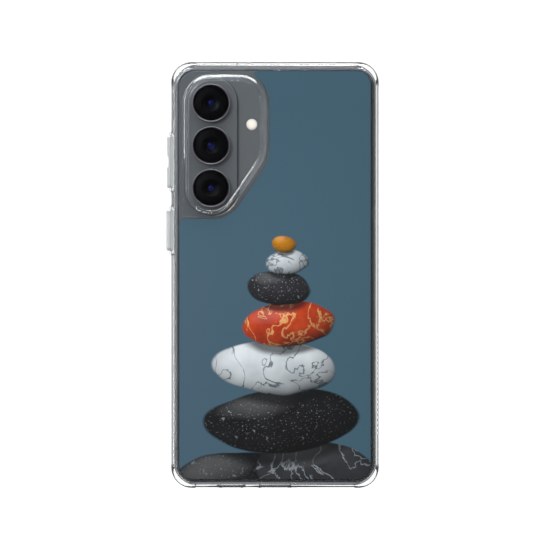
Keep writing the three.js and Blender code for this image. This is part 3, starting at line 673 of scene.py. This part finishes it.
tray = slot_along_y("card_tray_milled", 11.2, 23.8, -PHONE_HALF_Y, -70.3, 1.2)
round_edges(tray, lambda edge: all(abs(vert.co.y + PHONE_HALF_Y * MM) < NEAR for vert in edge.verts), 0.12, 3)
finish(tray, anodised, PHONE)
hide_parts("sim_tray")

earpiece_strip = block("earpiece_strip_punched", (-5.15, 73.94, 1.2), (5.15, 74.36, 1.5))
punched(earpiece_strip, (-4.95, 74.15, 1.3), 0.11, 0.3, 34, 1, 2)
finish(earpiece_strip, steel, PHONE)

# ---------------------------------------------------------------- phone: screen
# The screen is one sheet of black-printed glass over a display, with its rim ground round. The front camera
# looks out through a round hole in it.
SCREEN_BACK = 1.65
FRONT_CAMERA_Y = 68.4
screen = centred_block("screen_glass_sheet", 34.93, 73.88, PHONE_FRONT, SCREEN_BACK,
                       PHONE_CORNER - SCREEN_RIM - 0.12, under=0.15)
cut(screen, disc("front_camera_hole", 0, FRONT_CAMERA_Y, 1.82, 0, 3))
# Polished glass mirrors sharply. Behind it the display is a shade lighter than the black border printed
# round it.
display_glass, surface = new_material("polished_display_glass", {"Roughness": 0.05, "IOR": 1.51})
coords = add_node(display_glass, "ShaderNodeTexCoord")
centre = add_node(display_glass, "ShaderNodeMapping", {
    "Vector": coords.outputs["Object"], "Location": (-middle_x, 0, 0)})
DISPLAY_CORNER = 4.6
DISPLAY_HALF = (33.6 - DISPLAY_CORNER, 72.5 - DISPLAY_CORNER)
half = add_node(display_glass, "ShaderNodeVectorMath", {0: centre.outputs["Vector"]}, operation="ABSOLUTE")
beyond = add_node(display_glass, "ShaderNodeVectorMath", {
    0: half.outputs[0], 1: (DISPLAY_HALF[0] * MM, DISPLAY_HALF[1] * MM, 1)}, operation="SUBTRACT")
outside = add_node(display_glass, "ShaderNodeVectorMath", {
    0: beyond.outputs[0], 1: (0, 0, 0)}, operation="MAXIMUM")
reach = add_node(display_glass, "ShaderNodeVectorMath", {0: outside.outputs[0]}, operation="LENGTH")
border = add_node(display_glass, "ShaderNodeMath", {
    0: reach.outputs["Value"], 1: DISPLAY_CORNER * MM}, operation="GREATER_THAN")
ramp = add_node(display_glass, "ShaderNodeValToRGB", {"Fac": border.outputs[0]})
ramp.color_ramp.elements[0].color = linear("#0b0c10")
ramp.color_ramp.elements[1].color = linear("#020203")
link(ramp.outputs["Color"], surface.inputs["Base Color"])
finish(screen, display_glass, PHONE)
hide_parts("screen_glass")

front_profile = [
    (0, SCREEN_BACK), (1.7, SCREEN_BACK), (1.7, 1.04), (1.66, 1.0), (1.05, 1.0), (0.95, 1.1), (0.9, 1.3),
    (0, 1.3),
]
front_barrel = turned("front_camera_barrel", 0, FRONT_CAMERA_Y, front_profile, 48)
finish(front_barrel, barrel_black, PHONE)
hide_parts("front_camera")
front_lens_profile = [
    (0, 1.28), (0.85, 1.28), (0.85, 1.22), (0.7, 1.12), (0.5, 1.06), (0.25, 1.03), (0, 1.02),
]
front_lens = turned("front_camera_lens", 0, FRONT_CAMERA_Y, front_lens_profile, 48)
finish(front_lens, coated_lens, PHONE)

# ---------------------------------------------------------------- case: soft bumper
# The bumper is clear soft polyurethane, moulded in one piece: a wall round the phone with a lip over the
# screen, four thick corner pads, openings with raised shoulders for the key covers, a grooved grip on the
# right, and cutouts for the port, the speaker and a microphone.
CASE_HALF_X = 37.2
CASE_HALF_Y = 76.3
PLATE_TOP = 9.4
PLATE_CORNER = 5.0

bumper = centred_block("bumper_moulding", CASE_HALF_X, CASE_HALF_Y, 0, PLATE_TOP, 7.4, over=2.45, under=0.8)


def trim(place, normal):
    """In edit mode, cuts away what lies beyond a plane through a place."""
    bpy.ops.mesh.select_all(action="SELECT")
    bpy.ops.mesh.bisect(plane_co=at(*place), plane_no=normal, use_fill=True, clear_outer=True)


COVERS = {"volume": (31.2, 49.8), "power": (8.7, 23.4)}
COVER_GAP = 0.32         # between a key's cover and the wall, so that it can move
WALL_LEFT = -37.1        # just inside the wall's outer face beside the keys
SHOULDER_OUTER = -37.92
SHOULDER_FLAT = 0.8
SHOULDER_RAMP = 1.95
SHOULDER_ROUND = 1.15
for low, high in COVERS.values():
    reach = SHOULDER_FLAT + SHOULDER_RAMP
    shoulder = block("shoulder", (SHOULDER_OUTER, low - reach, 1.8), (-35.9, high + reach, 7.2))
    edit(shoulder)
    rise = WALL_LEFT - SHOULDER_OUTER
    trim((SHOULDER_OUTER, high + SHOULDER_FLAT, 0), (-SHOULDER_RAMP, rise, 0))
    trim((SHOULDER_OUTER, low - SHOULDER_FLAT, 0), (-SHOULDER_RAMP, -rise, 0))
    for height in (1.8, 7.2):
        select("EDGE", lambda edge: at_height(height)(edge) and (
            min(vert.co.x for vert in edge.verts) < at(-37.8, 0, 0).x))
        round_selected(SHOULDER_ROUND, 6)
    done()
    join(bumper, shoulder)


def wall_cut(low_x, high_x, wall_y, low, ramps):
    """What is cut away outside the thin wall between two places, with a ramp beside each corner pad."""
    side = 1 if wall_y > 0 else -1
    near, far = sorted((wall_y, side * (CASE_HALF_Y + PAST)))
    piece = block("wall_cut", (low_x, near, low), (high_x, far, PLATE_TOP + PAST))
    edit(piece)
    for ramp_side in ramps:
        trim((ramp_side * 27.9, wall_y, 0), (ramp_side * 0.7, -side * 3.0, 0))
    done()
    return piece


GROOVES = 20
GROOVED_LENGTH = 35.2
grooves = block("groove", (CASE_HALF_X - 0.3, -57.0, 1.9), (CASE_HALF_X + PAST, -56.2, 6.7))
repeat(grooves, GROOVES, (0, GROOVED_LENGTH / (GROOVES - 1), 0))

HEAD_WALL = 75.4         # the outer faces of the thin wall at the two ends
FOOT_WALL = -75.7
PAD_SIDE = 30.9          # where the corner pads begin
SPEAKER_SIDES = (-20.9, -10.4)
PORT_SIDES = (-6.6, 7.9)
BOSS_TOP = 7.7           # the bosses round the speaker's and the port's cutouts are flat above and below
BOSS_FOOT = 0.85
POCKET_ROUND = 1.1       # the wall is hollowed behind its small cutouts, with rounded corners
cavity = centred_block("cavity", 35.95, 74.9, 0.8, 8.15, PHONE_CORNER + 0.1, over=0.8, under=0.8)
edit(cavity)
for end in (-1, 1):
    trim((0, end * 74.9, 7.3), (0, end, 1))
done()
cut(
    bumper,
    cavity,
    centred_block("screen_opening", 34.4, 73.35, -PAST, 4, PHONE_CORNER - 1.45),
    centred_block("plate_opening", 34.5, 73.45, 4, PLATE_TOP + PAST, PLATE_CORNER + 0.05),
    rounded_block("port_notch", (-6.2, -74.35, 8.12), (6.4, -72.4, PLATE_TOP + PAST), 0.9),
    rounded_block("port_cutout", (-5.8, -78, 2.1), (5.8, -74.4, 7.3), 1.6, axis=1),
    slot_along_y("speaker_cutout", -19.9, -11.4, -78, -74.4, 1.3),
    slot_along_y("microphone_cutout", -13.7, -9.2, 74.4, 78, 1.3),
    rounded_block("microphone_pocket", (-13.85, 74.4, 3.0), (-9.05, 75.3, 7.2), POCKET_ROUND, axis=1),
    rounded_block("speaker_pocket", (-20.8, -75.6, 2.6), (-10.5, -74.4, 7.2), POCKET_ROUND, axis=1),
    wall_cut(-PAD_SIDE, PAD_SIDE, HEAD_WALL, 5.2, (-1, 1)),
    wall_cut(-PAD_SIDE, SPEAKER_SIDES[0], FOOT_WALL, -PAST, (-1,)),
    wall_cut(SPEAKER_SIDES[1], PORT_SIDES[0], FOOT_WALL, -PAST, ()),
    wall_cut(PORT_SIDES[1], PAD_SIDE, FOOT_WALL, -PAST, (1,)),
    wall_cut(*SPEAKER_SIDES, FOOT_WALL, BOSS_TOP, ()),
    wall_cut(*PORT_SIDES, FOOT_WALL, BOSS_TOP, ()),
    block("boss_foot", (SPEAKER_SIDES[0], -78, -PAST), (PORT_SIDES[1], FOOT_WALL, BOSS_FOOT)),
    *(block("cover_window", (-39, low - COVER_GAP, 2.18), (-35.8, high + COVER_GAP, 6.82))
      for low, high in COVERS.values()),
    *(block("cover_notch", (-39, low - COVER_GAP, 6.5), (-36.2, high + COVER_GAP, PLATE_TOP + PAST))
      for low, high in COVERS.values()),
    grooves,
)
edit(bumper)
for low, high in COVERS.values():
    for end in (low - COVER_GAP, high + COVER_GAP):
        select("EDGE", lambda edge: runs_along(0)(edge) and all(
            vert.co.x < at(WALL_LEFT, 0, 0).x and abs(vert.co.y - end * MM) < NEAR for vert in edge.verts))
        round_selected(0.4, 4)
for wall_y, radius in ((HEAD_WALL, 0.3), (FOOT_WALL, 0.5)):
    select("EDGE", lambda edge: runs_along(0)(edge) and all(
        vert.co.z > 8 * MM and abs(vert.co.y - wall_y * MM) < NEAR for vert in edge.verts))
    round_selected(radius, 4)
done()


def clear_plastic(name, colour, ior, roughness):
    """Clear plastic bends what lies behind it, and its faint ripples of about 9 mm come from its flow into
    the mould. Lamps and the light from matt surfaces pass straight through, as they nearly do through a real
    thin wall."""
    material = grained(name, {"Roughness": roughness, "IOR": ior, "Transmission Weight": 1.0}, 9,
                       (colour, "#ffffff"), detail=1.0, relief=(0.2, 0.05))
    let_through(material, ["Is Diffuse Ray", "Is Shadow Ray"], "#f4f6f7")
    return material


# Soft polyurethane is a trace less glossy than polished glass, and very slightly tinted.
soft_clear = clear_plastic("clear_moulded_polyurethane", "#f6f8f8", 1.5, 0.03)
finish(bumper, soft_clear, PHONE)
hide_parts("case_bumper")

# ---------------------------------------------------------------- case: hard back plate
# A clear polycarbonate plate is moulded into the bumper. A raised lip round its camera window keeps the
# lenses off the table, and swells to a squared pad at its lower left.
WINDOW = {"left": -30.85, "right": -5.45, "top": 69.65, "bottom": 23.1, "slant": -28.6}
WINDOW_RADII = {"top_right": 7.4, "top_left": 8.2, "bottom_left": 7.9, "heel": 7.2, "knee": 9.0}
SLANT_NORMAL = (0.83, -0.5577)
HEEL_TURN = 56.1
KNEE_TURN = 33.9
LIP_WIDTH = 2.35
LIP_TOP = 10.95
PLATE_BOTTOM = 8.15


def round_upright(x, y, radius, turn=90):
    """In edit mode, rounds the upright edge at (x, y), where the outline turns by that many degrees."""
    place = at(x, y, 0).xy
    select("EDGE", lambda edge: all((vert.co.xy - place).length < 2 * NEAR for vert in edge.verts))
    round_selected(radius * math.tan(math.radians(turn / 2)), CORNER_STEPS)


def slant_at_x(x, slant):
    return (slant - SLANT_NORMAL[0] * x) / SLANT_NORMAL[1]


def slant_at_y(y, slant):
    return (slant - SLANT_NORMAL[1] * y) / SLANT_NORMAL[0]


def window_block(name, grow, low, high, bottom_left=None):
    """An upright block in the window's outline, grown all round."""
    left = WINDOW["left"] - grow
    right = WINDOW["right"] + grow
    top = WINDOW["top"] + grow
    bottom = WINDOW["bottom"] - grow
    slant = WINDOW["slant"] + grow
    piece = block(name, (left, bottom, low), (right, top, high))
    edit(piece)
    trim((SLANT_NORMAL[0] * slant, SLANT_NORMAL[1] * slant, 0), (*SLANT_NORMAL, 0))
    round_upright(right, top, WINDOW_RADII["top_right"] + grow)
    round_upright(left, top, WINDOW_RADII["top_left"] + grow)
    round_upright(left, bottom, WINDOW_RADII["bottom_left"] + grow if bottom_left is None else bottom_left)
    round_upright(slant_at_y(bottom, slant), bottom, WINDOW_RADII["heel"] + grow, HEEL_TURN)
    round_upright(right, slant_at_x(right, slant), WINDOW_RADII["knee"] + grow, KNEE_TURN)
    done()
    return piece


# The lip's section from its outer foot to the window's edge, as steps of (inwards, up): a bead that leans
# outwards, a crease inside it, and a flange with a low ridge and a rounded edge.
lip_steps = [
    (0.04, 0.3), (0.05, 0.13), (0.07, 0.1), (0.2, 0.186), (0.2, 0.17), (0.2, 0.156), (0.2, 0.145),
    (0.2, 0.135), (0.1, 0.05), (0.1, 0.01), (0.06, -0.04), (0.06, -0.1), (0.05, -0.14), (0.08, -0.06),
    (0.12, -0.03), (0.14, 0.09), (0.1, 0.0), (0.17, -0.09), (0.1, -0.08), (0.08, -0.12), (0.04, -0.14),
]
lip_rise = max(itertools.accumulate(up for _, up in lip_steps))
lip = window_block("lip", LIP_WIDTH, PLATE_BOTTOM, LIP_TOP - lip_rise)
edit(lip)
select("FACE", lambda face: face.normal.z > 0.99)
for inwards, up in lip_steps:
    bpy.ops.mesh.inset(thickness=inwards * MM, depth=up * MM, use_even_offset=True)
lip_floor = LIP_TOP - lip_rise + sum(up for _, up in lip_steps)
bpy.ops.mesh.extrude_region_move(TRANSFORM_OT_translate={"value": (0, 0, (PLATE_BOTTOM - lip_floor) * MM)})
bpy.ops.mesh.delete(type="FACE")
select("FACE", lambda face: face.normal.z < -0.99 and face.calc_area() > 1e-4)
bpy.ops.mesh.delete(type="FACE")
bpy.ops.mesh.select_mode(type="EDGE")
bpy.ops.mesh.select_all(action="DESELECT")
bpy.ops.mesh.select_non_manifold()
bpy.ops.mesh.bridge_edge_loops()
bpy.ops.mesh.select_all(action="SELECT")
bpy.ops.mesh.normals_make_consistent(inside=False)
done()

plate = centred_block("back_plate_moulding", 34.45, 73.4, PLATE_BOTTOM, PLATE_TOP, PLATE_CORNER, over=0.12)
PAD_TOP = LIP_TOP - 0.25
pad = window_block("pad", LIP_WIDTH - 0.06, PLATE_BOTTOM + 0.3, PAD_TOP, bottom_left=0.6)
round_edges(pad, at_height(PAD_TOP), 0.25, 4)
cut(pad, block("pad_trim", (-31.0, 31.5, 0), (0, 80, 20)), block("pad_trim", (-40, 42, 0), (0, 80, 20)))
join(plate, pad)
cut(plate, window_block("window", 1.1, PLATE_BOTTOM - PAST, LIP_TOP + PAST))
join(plate, lip)
cut(plate, rounded_block("plateau_relief", (-32.65, 21.35, PLATE_BOTTOM - PAST), (-13.15, 71.35, 9.25), 9.74))
# Polycarbonate bends light more than the bumper's plastic, and its polished mould leaves it glossier.
hard_clear = clear_plastic("clear_moulded_polycarbonate", "#f4f6f8", 1.585, 0.02)
finish(plate, hard_clear, PHONE)
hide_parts("case_back_plate")

# ---------------------------------------------------------------- case: soft key covers
# Two soft covers of the case's plastic stand in openings of the wall, over the phone's metal keys. The wall
# is open above each cover too, so the covers are seen whole from behind.
RIB_PITCH = 0.72 * MM
WAVE_PERIOD = math.pi / 10   # of a wave pattern at scale 1
# The covers' mould was left satin and finely ribbed for grip, which turns clear plastic a milky grey. Along
# the ribs the colour also steps between grey and near white, a painted shade and light of the ribs. The ribs
# run together in a view of the whole phone.
satin_cover, surface = new_material("satin_ribbed_polyurethane", {
    "Roughness": 0.3, "IOR": 1.5, "Transmission Weight": 0.5})
coords = add_node(satin_cover, "ShaderNodeTexCoord")
ribs = add_node(satin_cover, "ShaderNodeTexWave", {
    "Vector": coords.outputs["Object"], "Scale": WAVE_PERIOD / RIB_PITCH}, bands_direction="X")
ramp = add_node(satin_cover, "ShaderNodeValToRGB", {"Fac": ribs.outputs["Fac"]})
# Painted shade and light of the ribs: grey in the grooves, near white on the crests.
ramp.color_ramp.elements[0].color = linear("#989a9b")
ramp.color_ramp.elements[1].color = linear("#eef0f0")
link(ramp.outputs["Color"], surface.inputs["Base Color"])
relief = add_node(satin_cover, "ShaderNodeBump", {
    "Height": ribs.outputs["Fac"], "Strength": 0.3, "Distance": 0.05 * MM})
link(relief.outputs["Normal"], surface.inputs["Normal"])
KEY_BODIES = {"volume": "volume_button", "power": "power_button"}
COVER_OUTER = {"volume": -38.7, "power": -38.95}
COVER_LOW = 2.5
COVER_HIGH = 6.5
KEY_FACE = -36.3
VALLEY_DEPTH = 0.45      # of the hollow in the middle of the volume key's cover
for key, (low, high) in COVERS.items():
    cover = block(f"{key}_cover_moulding", (COVER_OUTER[key], low, COVER_LOW), (-36.35, high, COVER_HIGH))
    edit(cover)
    select("EDGE", lambda edge: runs_along(2)(edge) and edge.verts[0].co.x < at(-37.5, 0, 0).x)
    round_selected(0.6, 6)
    for height in (COVER_LOW, COVER_HIGH):
        select("EDGE", lambda edge: at_height(height)(edge) and (
            max(vert.co.x for vert in edge.verts) < at(-37, 0, 0).x))
        round_selected(1.1, 8)
    done()
    if key == "volume":
        middle = (low + high) / 2
        floor_x = COVER_OUTER[key] + VALLEY_DEPTH
        valley = block("valley", (COVER_OUTER[key] - PAST, middle - 5, 0), (floor_x, middle + 5, 9))
        edit(valley)
        trim((floor_x, middle + 1.9, 0), (VALLEY_DEPTH, 1.3, 0))
        trim((floor_x, middle - 1.9, 0), (VALLEY_DEPTH, -1.3, 0))
        done()
        cut(cover, valley)
    finish(cover, satin_cover, KEY_BODIES[key])
    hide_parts(f"case_{key}_cover")
    key_low, key_high = KEYS[key]
    metal_key = block(f"{key}_key_milled", (KEY_FACE, key_low, 3.3), (-35.0, key_high, 5.7))
    edit(metal_key)
    select("EDGE", runs_along(0))
    round_selected(1.19, 8)
    select("EDGE", lambda edge: all(vert.co.x < at(KEY_FACE + 0.05, 0, 0).x for vert in edge.verts))
    round_selected(0.2, 4)
    done()
    finish(metal_key, anodised, KEY_BODIES[key])
    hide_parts(f"{key}_key")

# ---------------------------------------------------------------- case: print
# The picture is printed on the plate in satin ink, a few hundredths of a millimetre thick. It stops short
# of the camera window along an outline of its own.
PRINT_LOW = 9.42
PRINT_HIGH = 9.5
PRINT_HALF_X = 34.2
PRINT_HALF_Y = 73.05
BROW_Y = 66.9
ink = centred_block("printed_picture", PRINT_HALF_X, PRINT_HALF_Y, PRINT_LOW, PRINT_HIGH, 4.8)
PRINT_WINDOW_RIGHT = -1.97
PRINT_WINDOW_BOTTOM = 19.95
PRINT_SLANT = -24.5
BROW_TURN = 50.7
BROW_ANGLE = math.radians(140.7)
PRINT_TIP = 1.8
unprinted = block("unprinted", (-45, PRINT_WINDOW_BOTTOM, 9), (PRINT_WINDOW_RIGHT, 85, 10))
edit(unprinted)
trim((SLANT_NORMAL[0] * PRINT_SLANT, SLANT_NORMAL[1] * PRINT_SLANT, 0), (*SLANT_NORMAL, 0))
trim((PRINT_WINDOW_RIGHT, BROW_Y, 0), (math.sin(BROW_ANGLE), -math.cos(BROW_ANGLE), 0))
round_upright(slant_at_y(PRINT_WINDOW_BOTTOM, PRINT_SLANT), PRINT_WINDOW_BOTTOM, 11.0, HEEL_TURN)
round_upright(PRINT_WINDOW_RIGHT, slant_at_x(PRINT_WINDOW_RIGHT, PRINT_SLANT), 12.0, KNEE_TURN)
round_upright(PRINT_WINDOW_RIGHT, BROW_Y, 10.5, BROW_TURN)
done()
cut(ink, unprinted)
edit(ink)
round_upright(-PRINT_HALF_X, PRINT_WINDOW_BOTTOM, PRINT_TIP)
brow_end = PRINT_WINDOW_RIGHT + (PRINT_HALF_Y - BROW_Y) / math.tan(BROW_ANGLE)
round_upright(brow_end, PRINT_HALF_Y, PRINT_TIP, 180 - BROW_TURN)
done()

# The picture itself: a cairn of smooth sea pebbles before a slate-blue sky. Each pebble is an oval with an
# uneven edge, shaded as if lit from the upper left, and each kind of stone has its own marks.
satin_ink, surface = new_material("satin_printed_ink", {
    "Roughness": 0.42, "IOR": 1.5, "Specular IOR Level": 0.3})
coords = add_node(satin_ink, "ShaderNodeTexCoord")
in_millimetres = add_node(satin_ink, "ShaderNodeMapping", {
    "Vector": coords.outputs["Object"], "Location": (-middle_x / MM, 0, 0), "Scale": (1 / MM, 1 / MM, 0)})
spot = in_millimetres.outputs[0]


def clouded(tones, size):
    """Two tones of one stone in soft clouds, with a noise whose clouds are `size` millimetres across."""
    clouds = add_node(satin_ink, "ShaderNodeTexNoise", {"Vector": spot, "Scale": 1 / size, "Detail": 5.0})
    share = add_node(satin_ink, "ShaderNodeMapRange", {0: clouds.outputs["Fac"], 1: 0.3, 2: 0.7})
    return add_node(satin_ink, "ShaderNodeMix", {
        0: share.outputs[0], 6: linear(tones[0]), 7: linear(tones[1])}, data_type="RGBA").outputs[2]


def speckled(tones, mark):
    """Stone with grit of two sizes."""
    stone = clouded(tones, 9.0)
    for size, low, high in ((0.7, 0.62, 0.7), (2.2, 0.66, 0.71)):
        grit = add_node(satin_ink, "ShaderNodeTexNoise", {"Vector": spot, "Scale": 1 / size, "Detail": 2.5})
        share = add_node(satin_ink, "ShaderNodeMapRange", {0: grit.outputs["Fac"], 1: low, 2: high})
        stone = add_node(satin_ink, "ShaderNodeMix", {
            0: share.outputs[0], 6: stone, 7: linear(mark)}, data_type="RGBA").outputs[2]
    return stone


def veined(tones, mark, size=14.0, width=0.018):
    """Stone with crooked veins, which run where a noise crosses its middle value."""
    waves = add_node(satin_ink, "ShaderNodeTexNoise", {
        "Vector": spot, "Scale": 1 / size, "Detail": 4.0, "Distortion": 1.2})
    offset = add_node(satin_ink, "ShaderNodeMath", {0: waves.outputs["Fac"], 1: 0.5}, operation="SUBTRACT")
    ridge = add_node(satin_ink, "ShaderNodeMath", {0: offset.outputs[0]}, operation="ABSOLUTE")
    share = add_node(satin_ink, "ShaderNodeMapRange", {0: ridge.outputs[0], 1: width, 2: width / 5})
    return add_node(satin_ink, "ShaderNodeMix", {
        0: share.outputs[0], 6: clouded(tones, 0.8 * size), 7: linear(mark)}, data_type="RGBA").outputs[2]


# The ground is painted lighter towards the bottom, a painted light that makes up for the lamps' falloff
# towards the lower end. It is also lighter towards the lower left.
split = add_node(satin_ink, "ShaderNodeSeparateXYZ", {"Vector": spot})
leftward = add_node(satin_ink, "ShaderNodeMapRange", {0: split.outputs["X"], 1: 36.0, 2: -36.0})
downward = add_node(satin_ink, "ShaderNodeMapRange", {0: split.outputs["Y"], 1: 60.0, 2: 0.0})
lower_left_lightening = add_node(satin_ink, "ShaderNodeMath", {
    0: leftward.outputs[0], 1: downward.outputs[0]}, operation="MULTIPLY")
picture = add_node(satin_ink, "ShaderNodeMix", {
    0: downward.outputs[0], 6: linear("#334d5b"), 7: linear("#375361")}, data_type="RGBA").outputs[2]
picture = add_node(satin_ink, "ShaderNodeMix", {
    0: lower_left_lightening.outputs[0], 6: picture, 7: linear("#3d5463")}, data_type="RGBA").outputs[2]
covered = None
TOWARDS_LIGHT = (-0.30, 0.50, 0.0)
EDGE_BLUR = 0.6          # how far a pebble's printed edge fades, in millimetres
PEBBLES = [
    # middle, half width and height, tilt in degrees, the stone
    ((-13.0, -76.0), (27.5, 12.8), 4, speckled(("#0d0e10", "#1d1e22"), "#595f65")),
    ((15.0, -70.5), (22.0, 11.3), -7, veined(("#26282b", "#3b3d41"), "#83898f")),
    ((3.0, -52.0), (28.0, 11.5), 3, speckled(("#0a0a0c", "#18191c"), "#747a80")),
    ((0.0, -33.2), (22.0, 9.6), -4, veined(("#b9c1c6", "#dce2e5"), "#70797f")),
    ((5.0, -17.4), (16.8, 8.0), 5, veined(("#9c2810", "#cf4a1c"), "#e0a468", 9.0, 0.03)),
    ((1.5, -4.6), (11.7, 6.1), -5, speckled(("#1b1b1f", "#323236"), "#9299a0")),
    ((4.4, 4.5), (7.5, 4.3), 4, veined(("#b0b9be", "#d0d6d9"), "#6c767c", 8.0, 0.03)),
    ((3.2, 11.0), (4.2, 3.0), -6, speckled(("#a35a06", "#c98a12"), "#6a3a08")),
]
for middle, half_size, tilt, stone in PEBBLES:
    oval = add_node(satin_ink, "ShaderNodeMapping", {
        "Vector": spot, "Location": (*middle, 0), "Rotation": (0, 0, math.radians(tilt)),
        "Scale": (*half_size, 1)}, vector_type="TEXTURE")
    lumps = add_node(satin_ink, "ShaderNodeTexNoise", {
        "Vector": spot, "Scale": 1 / (0.8 * half_size[0]), "Detail": 1.0})
    pushed = add_node(satin_ink, "ShaderNodeVectorMath", {
        0: lumps.outputs["Color"], 1: (0.5, 0.5, 0.5)}, operation="SUBTRACT")
    about = add_node(satin_ink, "ShaderNodeVectorMath", {
        0: pushed.outputs[0], 1: (0.3, 0.3, 0.0), 2: oval.outputs[0]}, operation="MULTIPLY_ADD").outputs[0]
    reach = add_node(satin_ink, "ShaderNodeVectorMath", {0: about, 1: about}, operation="DOT_PRODUCT")
    blur = EDGE_BLUR / half_size[1]
    inside = add_node(satin_ink, "ShaderNodeMapRange", {
        0: reach.outputs["Value"], 1: 1 + blur, 2: 1 - blur}, interpolation_type="SMOOTHSTEP")
    drop = add_node(satin_ink, "ShaderNodeMath", {0: 1.0, 1: reach.outputs["Value"]}, operation="SUBTRACT")
    dome = add_node(satin_ink, "ShaderNodeMath", {0: drop.outputs[0]}, operation="SQRT")
    slope = add_node(satin_ink, "ShaderNodeVectorMath", {0: about, 1: TOWARDS_LIGHT}, operation="DOT_PRODUCT")
    lit = add_node(satin_ink, "ShaderNodeMath", {
        0: dome.outputs[0], 1: 0.52, 2: slope.outputs["Value"]}, operation="MULTIPLY_ADD")
    shade = add_node(satin_ink, "ShaderNodeMapRange", {0: lit.outputs[0], 1: -0.45, 2: 0.85})
    tint = add_node(satin_ink, "ShaderNodeMix", {
        0: shade.outputs[0], 6: linear("#1c2228"), 7: linear("#ffffff")}, data_type="RGBA")
    body = add_node(satin_ink, "ShaderNodeMix", {
        0: 1.0, 6: stone, 7: tint.outputs[2]}, data_type="RGBA", blend_type="MULTIPLY")
    gleam = add_node(satin_ink, "ShaderNodeMapRange", {0: lit.outputs[0], 1: 0.62, 2: 0.9, 4: 0.1})
    body = add_node(satin_ink, "ShaderNodeMix", {
        0: gleam.outputs[0], 6: body.outputs[2], 7: linear("#ffffff")}, data_type="RGBA")
    if covered is not None:
        under = add_node(satin_ink, "ShaderNodeVectorMath", {0: about, 1: (0, 0.35, 0)}, operation="ADD")
        near = add_node(satin_ink, "ShaderNodeVectorMath", {
            0: under.outputs[0], 1: under.outputs[0]}, operation="DOT_PRODUCT")
        touch = add_node(satin_ink, "ShaderNodeMapRange", {
            0: near.outputs["Value"], 1: 1.35, 2: 0.75, 4: 0.8}, interpolation_type="SMOOTHSTEP")
        shadow = add_node(satin_ink, "ShaderNodeMath", {
            0: touch.outputs[0], 1: covered}, operation="MULTIPLY")
        picture = add_node(satin_ink, "ShaderNodeMix", {
            0: shadow.outputs[0], 6: picture, 7: linear("#050608")}, data_type="RGBA").outputs[2]
    picture = add_node(satin_ink, "ShaderNodeMix", {
        0: inside.outputs[0], 6: picture, 7: body.outputs[2]}, data_type="RGBA").outputs[2]
    if covered is None:
        covered = inside.outputs[0]
    else:
        covered = add_node(satin_ink, "ShaderNodeMath", {
            0: covered, 1: inside.outputs[0]}, operation="MAXIMUM").outputs[0]
link(picture, surface.inputs["Base Color"])

# Printed ink dries with an orange peel about half a millimetre across, which keeps its gloss satin.
peel = add_node(satin_ink, "ShaderNodeTexNoise", {"Vector": spot, "Scale": 1 / 0.5, "Detail": 2.0})
relief = add_node(satin_ink, "ShaderNodeBump", {
    "Height": peel.outputs["Fac"], "Strength": 0.15, "Distance": 0.01 * MM})
link(relief.outputs["Normal"], surface.inputs["Normal"])
finish(ink, satin_ink, PHONE)
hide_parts("case_print")
